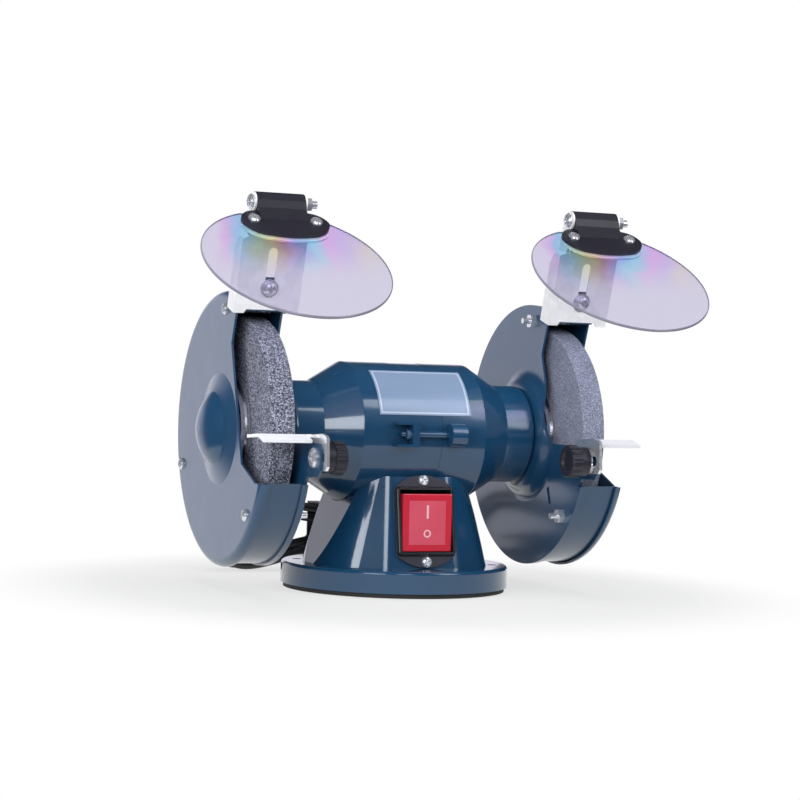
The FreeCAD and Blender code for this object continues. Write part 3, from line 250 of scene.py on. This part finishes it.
# effects that several finishes share
def makeDriftGroup():     # slow change of tone over a surface
    inputs = [("Colour", "Color", (0.5, 0.5, 0.5, 1)), ("Shade", "Color", (0.4, 0.4, 0.4, 1)),
              ("Scale", "Float", 20.0), ("Amount", "Float", 0.5)]
    tree, given, out = newGroup("toneDrift", inputs, [("Colour", "Color")])
    cloud = addNode(tree, "TexNoise", {"Vector": objectPlace(tree), "Scale": given["Scale"], "Detail": 4.0,
                                       "Roughness": 0.6})
    share = addMath(tree, "MULTIPLY", cloud.outputs["Fac"], given["Amount"])
    tree.links.new(addMix(tree, share, given["Colour"], given["Shade"]), out["Colour"])
    return tree


def makeGrainGroup():     # fine moulded or sprayed skin
    inputs = [("Scale", "Float", 900.0), ("Base", "Float", 0.3), ("Spread", "Float", 0.1)]
    tree, given, out = newGroup("fineSkin", inputs, [("Height", "Float"), ("Roughness", "Float")])
    at = objectPlace(tree)
    fine = addNode(tree, "TexNoise", {"Vector": at, "Scale": given["Scale"], "Detail": 2.0})
    broad = addNode(tree, "TexNoise", {"Vector": at, "Scale": 45.0, "Detail": 5.0, "Roughness": 0.65})
    rough = addMath(tree, "MULTIPLY_ADD", broad.outputs["Fac"], given["Spread"], given["Base"])
    tree.links.new(fine.outputs["Fac"], out["Height"])
    tree.links.new(rough, out["Roughness"])
    return tree


def makeStreakGroup():     # drawn or brushed lines along one axis
    inputs = [("Along", "Vector", (1, 1, 1)), ("Base", "Float", 0.25), ("Spread", "Float", 0.2)]
    tree, given, out = newGroup("metalStreaks", inputs, [("Streak", "Float"), ("Roughness", "Float")])
    scaled = addNode(tree, "VectorMath", {0: objectPlace(tree), 1: given["Along"]}, operation="MULTIPLY")
    lines = addNode(tree, "TexNoise", {"Vector": scaled.outputs[0], "Scale": 1.0, "Detail": 3.0,
                                       "Roughness": 0.6})
    rough = addMath(tree, "MULTIPLY_ADD", lines.outputs["Fac"], given["Spread"], given["Base"])
    tree.links.new(lines.outputs["Fac"], out["Streak"])
    tree.links.new(rough, out["Roughness"])
    return tree


gritTones = {
    "grains": [(0.05, (0, 0, 0)), (0.55, (0.26, 0.26, 0.26)), (0.95, (1, 1, 1))],
    "pores": [(0.34, (0.4, 0.4, 0.42)), (0.44, (1, 1, 1))],
    "mottle": [(0.3, (0.86, 0.86, 0.88)), (0.7, (1.08, 1.08, 1.08))],
}


def makeGritGroup(v):     # bonded abrasive: grains of many tones, pores between them
    inputs = [("Grain", "Float", 1200.0), ("Pale", "Color", (0.4, 0.4, 0.45, 1)),
              ("Dark", "Color", (0.1, 0.1, 0.12, 1))]
    tree, given, out = newGroup("bondedGrit", inputs, [("Colour", "Color"), ("Height", "Float")])
    at = objectPlace(tree)
    grains = addNode(tree, "TexVoronoi", {"Vector": at, "Scale": given["Grain"], "Randomness": 1.0})
    pores = addNode(tree, "TexNoise", {"Vector": at, "Scale": given["Grain"], "Detail": 3.0,
                                       "Roughness": 0.7})
    cloud = addNode(tree, "TexNoise", {"Vector": at, "Scale": 60.0, "Detail": 5.0, "Roughness": 0.6})
    tone = addNode(tree, "SeparateColor", {0: grains.outputs["Color"]}).outputs[0]
    spread = addRamp(tree, tone, v["grains"])
    body = addMix(tree, spread, given["Dark"], given["Pale"])
    holes = addRamp(tree, pores.outputs["Fac"], v["pores"])
    pitted = addMix(tree, 1.0, body, holes, "MULTIPLY")
    mottle = addRamp(tree, cloud.outputs["Fac"], v["mottle"])
    tree.links.new(addMix(tree, 1.0, pitted, mottle, "MULTIPLY"), out["Colour"])
    tree.links.new(addMath(tree, "ADD", tone, pores.outputs["Fac"]), out["Height"])
    return tree


toneDrift = makeDriftGroup()
fineSkin = makeGrainGroup()
metalStreaks = makeStreakGroup()
bondedGrit = makeGritGroup(gritTones)


def skinInto(tree, shader, v):     # drifting tone and fine skin, as most finishes have them
    tone = placeGroup(tree, toneDrift, {"Colour": v["colour"], "Shade": v["shade"], "Scale": v["driftScale"],
                                        "Amount": v["drift"]})
    skin = placeGroup(tree, fineSkin, {"Scale": v["grain"], "Base": v["base"], "Spread": v["spread"]})
    tree.links.new(tone["Colour"], shader.inputs["Base Color"])
    tree.links.new(skin["Roughness"], shader.inputs["Roughness"])
    bumpInto(tree, shader, skin["Height"], v["bump"], v["height"])
    return tone["Colour"]


# enamel: base is the paint's own roughness, gloss that of its clear coat
enamelUsual = {"coatIor": 1.55, "specular": 0.25, "driftScale": 18.0, "drift": 0.7, "grain": 420.0,
               "spread": 0.16, "height": 0.0004}
petrolBlue = {"colour": (0.009, 0.058, 0.132, 1), "shade": (0.006, 0.042, 0.098, 1), "coat": 1.0}
paints = {
    "castPaint": {**petrolBlue, "base": 0.16, "bump": 0.06, "gloss": 0.09},
    "sheetPaint": {**petrolBlue, "base": 0.28, "bump": 0.04, "gloss": 0.16},
    "switchPlatePaint": {"colour": (0.05, 0.046, 0.066, 1), "shade": (0.035, 0.032, 0.046, 1), "coat": 0.4,
                         "base": 0.28, "bump": 0.1, "gloss": 0.06},
    "stackPaint": {**petrolBlue, "base": 0.14, "bump": 0.09, "gloss": 0.07},
}


def makePaint(name, given):
    v = {**enamelUsual, **given}
    made, tree, shader = newMaterial(name, Coat_Weight=v["coat"], Coat_Roughness=v["gloss"],
                                     Coat_IOR=v["coatIor"], Specular_IOR_Level=v["specular"])
    skinInto(tree, shader, v)
    return made


# plastic, rubber and card
mouldedUsual = {"driftScale": 60.0, "drift": 0.8, "grain": 900.0, "bump": 0.15, "height": 0.0003,
                "spread": 0.15, "coat": {}}
mouldings = {
    "blotterCard": {"colour": (0.42, 0.41, 0.40, 1), "shade": (0.3, 0.29, 0.28, 1), "base": 0.8,
                    "grain": 1500.0, "bump": 0.3},
    "satinBlack": {"colour": (0.019, 0.018, 0.029, 1), "shade": (0.012, 0.011, 0.018, 1), "base": 0.34},
    "switchFrame": {"colour": (0.018, 0.017, 0.02, 1), "shade": (0.01, 0.01, 0.011, 1), "base": 0.16,
                    "bump": 0.05},
    "footRubber": {"colour": (0.018, 0.018, 0.019, 1), "shade": (0.008, 0.008, 0.008, 1), "base": 0.6,
                   "grain": 1500.0, "bump": 0.4},
    "cordSheath": {"colour": (0.02, 0.02, 0.022, 1), "shade": (0.011, 0.011, 0.012, 1), "base": 0.34,
                   "grain": 700.0, "bump": 0.12},
    "rockerRed": {"colour": (0.66, 0.022, 0.05, 1), "shade": (0.54, 0.014, 0.034, 1), "base": 0.14,
                  "bump": 0.04, "coat": {"Coat_Weight": 0.6}},
    # rocker window: its own clear red, partly lightened as painted reflection of a whitish sheen in it
    "rockerWindow": {"colour": (0.76, 0.115, 0.165, 1), "shade": (0.60, 0.05, 0.085, 1), "base": 0.1,
                     "bump": 0.03, "coat": {"Coat_Weight": 1.0, "Coat_Roughness": 0.08}},
    "switchMark": {"colour": (0.90, 0.55, 0.60, 1), "shade": (0.82, 0.46, 0.52, 1), "base": 0.25,
                   "bump": 0.03},
    # the clear disc's rim, made opaque mid-dark grey: painted shade for the dark line along a clear edge
    "shieldRim": {"colour": (0.27, 0.26, 0.33, 1), "shade": (0.20, 0.19, 0.25, 1), "base": 0.14, "bump": 0.02,
                  "coat": {"Coat_Weight": 0.6}},
}


def makeMoulded(name, given):
    v = {**mouldedUsual, **given}
    made, tree, shader = newMaterial(name, **v["coat"])
    skinInto(tree, shader, v)
    return made


# metals: along holds the streaks' counts per metre on the three axes
metalUsual = {"spread": 0.2, "bump": 0.08, "height": 0.0002, "metallic": 1.0, "spangle": 0.0}
metals = {
    "zincScrews": {"colour": (0.92, 0.93, 0.96), "shade": (0.7, 0.71, 0.76), "along": (300, 300, 300),
                   "base": 0.16, "metallic": 0.8},
    "galvanisedSheet": {"colour": (0.93, 0.92, 0.89), "shade": (0.83, 0.82, 0.80), "along": (700, 40, 40),
                        "base": 0.30, "metallic": 0.15, "spangle": 140.0},
    "restSheet": {"colour": (0.97, 0.97, 0.985), "shade": (0.92, 0.92, 0.95), "along": (900, 60, 60),
                  "base": 0.18, "spread": 0.12, "metallic": 0.1,
                  "polished": 0.85, "polishedTo": 0.0972, "frostedFrom": 0.0990},
    "groundSteel": {"colour": (0.7, 0.71, 0.74), "shade": (0.5, 0.51, 0.55), "along": (1500, 20, 20),
                    "base": 0.2},
    "brightFlange": {"colour": (0.74, 0.74, 0.78), "shade": (0.6, 0.6, 0.64), "along": (200, 200, 200),
                     "base": 0.14, "spread": 0.12, "bump": 0.02},
    "floorSheet": {"colour": (0.6, 0.61, 0.64), "shade": (0.42, 0.43, 0.46), "along": (60, 500, 60),
                   "base": 0.3},
    "copperWire": {"colour": (0.72, 0.36, 0.17), "shade": (0.45, 0.2, 0.08), "along": (20, 900, 900),
                   "base": 0.25, "bump": 0.4},
    "platedPins": {"colour": (0.8, 0.74, 0.58), "shade": (0.62, 0.55, 0.38), "along": (60, 900, 900),
                   "base": 0.18},
    "drawnCan": {"colour": (0.74, 0.75, 0.77), "shade": (0.58, 0.59, 0.61), "along": (30, 700, 700),
                 "base": 0.25},
}
spangleTones = [(0.2, (0.93, 0.93, 0.95)), (0.8, (1.03, 1.03, 1.03))]


def makeMetal(name, given):
    v = {**metalUsual, **given}
    made, tree, shader = newMaterial(name, Metallic=v["metallic"])
    if "polished" in v:     # bright up to one distance from the middle of the tool, then frosted
        side = addMath(tree, "ABSOLUTE", addNode(tree, "SeparateXYZ", {0: objectPlace(tree)}).outputs["X"])
        share = addMap(tree, side, v["polishedTo"], v["frostedFrom"], v["polished"], v["metallic"])
        tree.links.new(share, shader.inputs["Metallic"])
    streaks = placeGroup(tree, metalStreaks, {"Along": v["along"], "Base": v["base"], "Spread": v["spread"]})
    tone = addMix(tree, streaks["Streak"], v["colour"], v["shade"])
    if v["spangle"]:
        flakes = addNode(tree, "TexVoronoi", {"Vector": objectPlace(tree), "Scale": v["spangle"],
                                              "Randomness": 1.0})
        pale = addRamp(tree, flakes.outputs["Color"], spangleTones)
        tone = addMix(tree, 1.0, tone, pale, "MULTIPLY")
    tree.links.new(tone, shader.inputs["Base Color"])
    tree.links.new(streaks["Roughness"], shader.inputs["Roughness"])
    bumpInto(tree, shader, streaks["Streak"], v["bump"], v["height"])
    return made


# grinding wheels: grain is the count per metre
gritUsual = {"specular": 0.2, "base": 0.85, "spread": 0.1, "height": 0.0006}
grits = {
    "coarseWheel": {"grain": 1650.0, "pale": (0.66, 0.68, 0.82, 1), "dark": (0.03, 0.034, 0.056, 1),
                    "bump": 1.0},
    "fineWheel": {"grain": 1900.0, "pale": (0.44, 0.465, 0.58, 1), "dark": (0.165, 0.176, 0.236, 1),
                  "bump": 0.6},
}


def makeGrit(name, given):
    v = {**gritUsual, **given}
    made, tree, shader = newMaterial(name, Specular_IOR_Level=v["specular"])
    grit = placeGroup(tree, bondedGrit, {"Grain": v["grain"], "Pale": v["pale"], "Dark": v["dark"]})
    skin = placeGroup(tree, fineSkin, {"Scale": v["grain"], "Base": v["base"], "Spread": v["spread"]})
    tree.links.new(grit["Colour"], shader.inputs["Base Color"])
    tree.links.new(skin["Roughness"], shader.inputs["Roughness"])
    bumpInto(tree, shader, grit["Height"], v["bump"], v["height"])
    return made


# rating plate film: bare, with one thin pale line inside its edge
plateValues = {
    "colour": (0.19, 0.265, 0.39, 1), "shade": (0.17, 0.24, 0.36, 1), "line": (0.45, 0.51, 0.62),
    "half": 0.033, "low": 15.5, "high": 61.0,     # half width, then degrees up from straight ahead
    "shaft": 0.1065, "reach": 0.0476,             # shaft's height, and the plate's distance from it
    "inset": 0.0016, "wide": 0.0005,
    "coat": 0.5, "gloss": 0.12, "driftScale": 40.0, "drift": 0.7,
    "grain": 900.0, "base": 0.3, "spread": 0.05, "bump": 0.04, "height": 0.0003,
}


def makePlateFilm(name, v):
    made, tree, shader = newMaterial(name, Coat_Weight=v["coat"], Coat_Roughness=v["gloss"])
    axis = addNode(tree, "SeparateXYZ", {0: objectPlace(tree)}).outputs
    rise = addMath(tree, "SUBTRACT", axis["Z"], v["shaft"])
    ahead = addMath(tree, "MULTIPLY", axis["Y"], -1.0)
    turn = addMath(tree, "ARCTAN2", rise, ahead)     # angle round the shaft
    middle = math.radians((v["low"] + v["high"]) / 2)
    tall = math.radians(v["high"] - v["low"]) / 2 * v["reach"]
    upward = addMath(tree, "MULTIPLY", addMath(tree, "SUBTRACT", turn, middle), v["reach"])
    gaps = [addMath(tree, "SUBTRACT", half, addMath(tree, "ABSOLUTE", way))
            for way, half in ((axis["X"], v["half"]), (upward, tall))]
    line = addMath(tree, "COMPARE", addMath(tree, "MINIMUM", *gaps), v["inset"], v["wide"])
    tone = skinInto(tree, shader, v)
    tree.links.new(addMix(tree, line, tone, v["line"]), shader.inputs["Base Color"])
    return made


finishes = {"plateFilm": makePlateFilm("plateFilm", plateValues)}
for make, family in ((makePaint, paints), (makeMetal, metals), (makeGrit, grits), (makeMoulded, mouldings)):
    finishes.update({name: make(name, values) for name, values in family.items()})
print("finishes made")

finishOf = {
    "blue_paint": "castPaint", "black_rubber": "footRubber", "floor_steel": "floorSheet",
    "zinc_steel": "zincScrews", "laminations": "stackPaint", "windings": "copperWire",
    "label_film": "plateFilm", "ground_steel": "groundSteel", "bright_flange": "brightFlange",
    "coarse_abrasive": "coarseWheel", "fine_abrasive": "fineWheel", "blotter_paper": "blotterCard",
    "galvanised_steel": "galvanisedSheet", "rest_steel": "restSheet", "black_plastic": "satinBlack",
    "clear_shield": "shieldRim", "switch_grey": "switchPlatePaint", "frame_black": "switchFrame",
    "rocker_red": "rockerRed", "window_clear": "rockerWindow", "can_metal": "drawnCan",
    "cord_sheath": "cordSheath", "pin_brass": "platedPins",
}


def dressNodes():
    for piece in record["subparts"]:
        finish = finishOf[piece["material_slot"]]
        if finish == "castPaint" and "_guard_" in piece["node"]:     # guards are pressed sheet
            finish = "sheetPaint"
        thing = nodes[piece["node"]]
        thing.data.materials.clear()
        thing.data.materials.append(finishes[finish])
    mainsCord.data.materials.append(finishes["cordSheath"])


dressNodes()
print("nodes dressed")


def jointPlace(name):
    return Vector(next(j["pos_m"] for j in record["behaviour"]["joints"] if j["name"] == name))


def addPiece(name, build, materials, body):
    mesh = bpy.data.meshes.new(name)
    build.to_mesh(mesh)
    build.free()
    for material in materials:
        mesh.materials.append(material)
    piece = bpy.data.objects.new(name, mesh)
    scene.collection.objects.link(piece)
    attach(piece, body)
    return piece


# eye shields: a clear disc with a rounded rim, cut straight under its clamp
shieldValues = {
    "radius": 0.061, "thick": 0.002, "slope": 34,
    "drop": 0.0042, "shift": -0.005,     # below the hinge and to one side of it
    "out": 0.0645, "top": 0.008,         # along the sheet, to the disc's middle and to the straight edge
    "rim": 0.0007, "rimSteps": 6, "around": 120,
    "holeX": 0.021, "holeOut": 0.018, "hole": 0.0021, "holeSteps": 20,
    "tint": (0.69, 0.662, 0.815), "shade": (0.99, 0.985, 0.965, 1), "ior": 1.3, "rough": 0.015,
    "strain": 1.0, "strainFrom": 0.030, "strainTo": 0.090, "strainShift": 0.025,
    "lean": 0.3, "wave": 0.03, "waveScale": 32.0,
    "strainTones": [     # painted colours of light: the rainbow that strained plastic shows in polarised light, at mm across the disc
        (-50, (1, 0.97, 1)), (-43, (1, 0.72, 0.97)), (-36, (0.50, 0.80, 1)), (-29, (0.52, 0.94, 0.98)),
        (-22, (0.72, 1, 0.60)), (-14, (1, 0.93, 0.42)), (-6, (1, 0.62, 0.50)), (1, (0.86, 0.58, 0.98)),
        (8, (0.44, 0.62, 1)), (16, (0.45, 0.92, 1)), (27, (1, 0.66, 1)), (40, (0.86, 0.74, 1)),
        (54, (1, 0.93, 0.76)), (74, (0.95, 0.93, 1)),
    ],
}


def makeLensFinish(name, v, hinge):
    made, tree, shader = newMaterial(name, Transmission_Weight=1.0, IOR=v["ior"], Roughness=v["rough"])
    at = objectPlace(tree)
    here = addNode(tree, "VectorMath", {0: at, 1: hinge}, operation="SUBTRACT").outputs[0]
    slope = math.radians(v["slope"])
    fall = (0, -math.cos(slope), -math.sin(slope))
    down = addNode(tree, "VectorMath", {0: here, 1: fall}, operation="DOT_PRODUCT").outputs["Value"]
    across = addNode(tree, "SeparateXYZ", {0: here}).outputs["X"]
    cloud = addNode(tree, "TexNoise", {"Vector": at, "Scale": v["waveScale"], "Detail": 2.0}).outputs["Fac"]
    waved = addMath(tree, "MULTIPLY_ADD", cloud, v["wave"], across)
    leaned = addMath(tree, "MULTIPLY_ADD", down, v["lean"], waved)
    # painted colours of light: the strain rainbow drawn into the sheet's colour, fading away from the clamp
    low, high = v["strainTones"][0][0], v["strainTones"][-1][0]
    share = addMap(tree, leaned, low / 1000 + v["strainShift"], high / 1000 + v["strainShift"], kind="LINEAR")
    tones = addRamp(tree, share, [((mm - low) / (high - low), tone) for mm, tone in v["strainTones"]])
    fade = addMap(tree, down, v["strainFrom"], v["strainTo"], v["strain"], 0.0)
    pale = addMix(tree, fade, (1, 1, 1), tones)
    tree.links.new(addMix(tree, 1.0, v["tint"], pale, "MULTIPLY"), shader.inputs["Base Color"])
    shade = addNode(tree, "BsdfTransparent", {"Color": v["shade"]})
    showInstead(tree, addNode(tree, "LightPath").outputs["Is Shadow Ray"], shader, shade)
    return made


def lensRing(build, v, inset, height):
    radius = v["radius"] - inset
    start = math.acos((v["out"] - v["top"] - inset) / radius)
    ring = []
    for k in range(v["around"] + 1):
        angle = start + (2 * math.pi - 2 * start) * k / v["around"]
        place = (v["shift"] + radius * math.sin(angle), radius * math.cos(angle) - v["out"], height)
        ring.append(build.verts.new(place))
    return ring


def holeRing(build, v, side, height):
    ring = []
    for k in range(v["holeSteps"]):
        angle = 2 * math.pi * k / v["holeSteps"]
        across = side * v["holeX"] + v["hole"] * math.cos(angle)
        ring.append(build.verts.new((across, v["hole"] * math.sin(angle) - v["holeOut"], height)))
    return ring


def bridgeRings(build, upper, lower, finish=0, smooth=True):
    for k in range(len(upper)):
        after = (k + 1) % len(upper)
        face = build.faces.new((upper[k], lower[k], lower[after], upper[after]))
        face.material_index = finish
        face.smooth = smooth


def fillRings(build, rings):
    edges = []
    for ring in rings:
        for k in range(len(ring)):
            pair = (ring[k], ring[(k + 1) % len(ring)])
            edges.append(build.edges.get(pair) or build.edges.new(pair))
    bmesh.ops.triangle_fill(build, use_beauty=True, use_dissolve=False, edges=edges)


def makeShield(side, v):
    hinge = jointPlace(f"{side}_shield_hinge")
    build = bmesh.new()
    rims = []
    for k in range(v["rimSteps"] + 1):
        angle = math.pi * k / v["rimSteps"]
        rims.append(lensRing(build, v, v["rim"] * (1 - math.sin(angle)), v["thick"] / 2 * math.cos(angle)))
    holes = [[holeRing(build, v, way, v["thick"] / 2 * face) for face in (1, -1)] for way in (-1, 1)]
    fillRings(build, [rims[0], holes[0][0], holes[1][0]])
    fillRings(build, [rims[-1], holes[0][1], holes[1][1]])
    for upper, lower in zip(rims, rims[1:]):
        bridgeRings(build, upper, lower, 1)
    for upper, lower in holes:
        bridgeRings(build, upper, lower)
    bmesh.ops.recalc_face_normals(build, faces=build.faces)
    lay = (Matrix.Translation(hinge) @ Matrix.Rotation(math.radians(v["slope"]), 4, "X")
           @ Matrix.Translation((0, 0, -v["drop"] - v["thick"] / 2)))
    build.transform(lay)
    sheets = [makeLensFinish(f"{side}ClearSheet", v, hinge), finishes["shieldRim"]]
    shield = addPiece(f"{side}ShieldLens", build, sheets, f"{side}_shield")
    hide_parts(f"{side}_eye_shield")


for side in ("left", "right"):
    makeShield(side, shieldValues)
print("shields made")


# switch marks: a bar and a ring, raised a little on the rocker's window
markValues = {"lean": -1.1, "face": -0.00885, "proud": 0.0003, "sunk": 0.0001, "up": 0.0072,
              "barTall": 0.0044, "barWide": 0.0007, "ring": 0.0026, "ringWide": 0.0009, "steps": 36}


def makeMarks(v):
    build = bmesh.new()
    front, back = v["face"] - v["proud"], v["face"] + v["sunk"]
    low, high, half = v["up"] - v["barTall"], v["up"] + v["barTall"], v["barWide"]
    corners = [(-half, low), (half, low), (half, high), (-half, high)]
    bar = [[build.verts.new((x, y, z)) for x, z in corners] for y in (front, back)]
    build.faces.new(bar[0])
    build.faces.new(list(reversed(bar[1])))
    bridgeRings(build, *bar, smooth=False)
    turns = [2 * math.pi * k / v["steps"] for k in range(v["steps"])]
    inner = v["ring"] - v["ringWide"]
    loops = []
    for radius, y in ((v["ring"], front), (v["ring"], back), (inner, back), (inner, front)):
        places = [(radius * math.cos(turn), y, radius * math.sin(turn) - v["up"]) for turn in turns]
        loops.append([build.verts.new(place) for place in places])
    for loop, following in zip(loops, loops[1:] + loops[:1]):
        bridgeRings(build, loop, following, smooth=False)
    bmesh.ops.recalc_face_normals(build, faces=build.faces)
    pivot = jointPlace("switch_rock")
    build.transform(Matrix.Translation(pivot) @ Matrix.Rotation(math.radians(v["lean"]), 4, "X"))
    addPiece("switchMarks", build, [finishes["switchMark"]], "rocker")


makeMarks(markValues)
print("switch marked")


# studio: round grey table that shows as white, white backdrop behind, darker room in front
studio = {
    "floor": 0.50, "floorDrift": 0.02, "paperScale": 2.0, "paperDrift": 0.5, "paperRough": 0.9,
    "paperSheen": 0.1, "around": 96, "past": 0.01, "sink": 0.0004,
    "floorLift": 0.68, "nearFloor": 0.18, "farFloor": 0.30,     # share of white, full at the far radius
    "fill": 0.48,                                               # world's light on the object
    "backdrop": (0.90, 0.895, 1.0), "room": 0.05,               # for reflections
    "backTop": 0.42, "frontTop": 0.17, "frontLevel": 0.05, "edge": 0.30, "sideFrom": 0.58, "sideTo": 0.84,
}
coolWhite = (0.90, 0.95, 1.0)
lamps = {
    "leftSoftbox": {"place": (-1.1, -1.2, 0.5), "size": (0.6, 0.55), "power": 8, "colour": coolWhite},
    "middleSoftbox": {"place": (-0.3, -1.5, 0.65), "size": (0.4, 0.45), "power": 4, "colour": coolWhite},
    "rightSoftbox": {"place": (0.88, -1.15, 0.95), "size": (0.5, 1.2), "power": 8, "colour": coolWhite},
    "sideFill": {"place": (-1.5, -0.2, 0.5), "size": (0.6, 0.6), "power": 9, "colour": (0.94, 0.95, 1.0),
                 "mirrored": False},
    "topSoftbox": {"place": (0, 0, 1.3), "size": (1.0, 0.8), "power": 9, "target": (0, 0, 0.1),
                   "mirrored": False},
}


def seenDirectly(tree):
    path = addNode(tree, "LightPath").outputs
    return addMath(tree, "MAXIMUM", path["Is Camera Ray"], path["Is Transmission Ray"])


def makeFloor(v):
    mesh = bpy.data.meshes.new("floor")
    build = bmesh.new()
    bmesh.ops.create_circle(build, cap_ends=True, segments=v["around"], radius=v["farFloor"] + v["past"])
    build.to_mesh(mesh)
    build.free()
    floor = bpy.data.objects.new("floor", mesh)
    floor.location.z = -v["sink"]
    scene.collection.objects.link(floor)
    made, tree, shader = newMaterial("floorPaper", Roughness=v["paperRough"],
                                     Specular_IOR_Level=v["paperSheen"])
    grey, darker = ((level, level, level, 1) for level in (v["floor"], v["floor"] - v["floorDrift"]))
    tone = placeGroup(tree, toneDrift, {"Colour": grey, "Shade": darker, "Scale": v["paperScale"],
                                        "Amount": v["paperDrift"]})
    tree.links.new(tone["Colour"], shader.inputs["Base Color"])
    away = addNode(tree, "VectorMath", {0: objectPlace(tree)}, operation="LENGTH").outputs["Value"]
    far = addMap(tree, away, v["nearFloor"], v["farFloor"], v["floorLift"], 1.0)
    white = addNode(tree, "Emission", {"Color": (1, 1, 1, 1), "Strength": 1.0})
    glossy = addNode(tree, "LightPath").outputs["Is Glossy Ray"]
    shown = addMath(tree, "MAXIMUM", seenDirectly(tree), glossy)
    showInstead(tree, addMath(tree, "MULTIPLY", far, shown), shader, white)
    mesh.materials.append(made)


def makeWorld(v):
    world = bpy.data.worlds.new("studio")
    scene.world = world
    world.use_nodes = True
    tree = world.node_tree
    tree.nodes.clear()
    way = addNode(tree, "SeparateXYZ", {0: addNode(tree, "TexCoord").outputs["Generated"]}).outputs
    behind = addMap(tree, way["Y"], v["sideFrom"], v["sideTo"])
    top = addMap(tree, behind, 0.0, 1.0, v["frontTop"], v["backTop"], "LINEAR")
    under = addMath(tree, "SUBTRACT", top, way["Z"])
    low = addMap(tree, under, 0.0, v["edge"])
    bright = addMap(tree, behind, 0.0, 1.0, v["frontLevel"], 1.0, "LINEAR")
    mirrored = addMath(tree, "MULTIPLY_ADD", low, bright, v["room"])
    glossy = addNode(tree, "LightPath").outputs["Is Glossy Ray"]
    level = addMix(tree, glossy, (v["fill"],) * 3, addMix(tree, mirrored, (0, 0, 0), v["backdrop"]))
    shown = addMix(tree, seenDirectly(tree), level, (1, 1, 1))
    ground = addNode(tree, "Background", {"Color": shown, "Strength": 1.0})
    out = addNode(tree, "OutputWorld")
    tree.links.new(ground.outputs[0], out.inputs["Surface"])


def addLamp(name, place, size, power, colour=(1, 1, 1), target=(0, 0, 0.12), mirrored=True):
    data = bpy.data.lights.new(name, "AREA")
    data.shape = "RECTANGLE"
    data.size, data.size_y = size
    data.energy = power
    data.color = colour
    lamp = bpy.data.objects.new(name, data)
    lamp.visible_glossy = mirrored
    lamp.visible_transmission = mirrored
    way = Vector(target) - Vector(place)
    lamp.matrix_world = Matrix.Translation(place) @ way.to_track_quat("-Z", "Y").to_matrix().to_4x4()
    scene.collection.objects.link(lamp)


makeFloor(studio)
makeWorld(studio)
for name, values in lamps.items():
    addLamp(name, **values)
print("studio lit")

scene.view_settings.view_transform = "Standard"
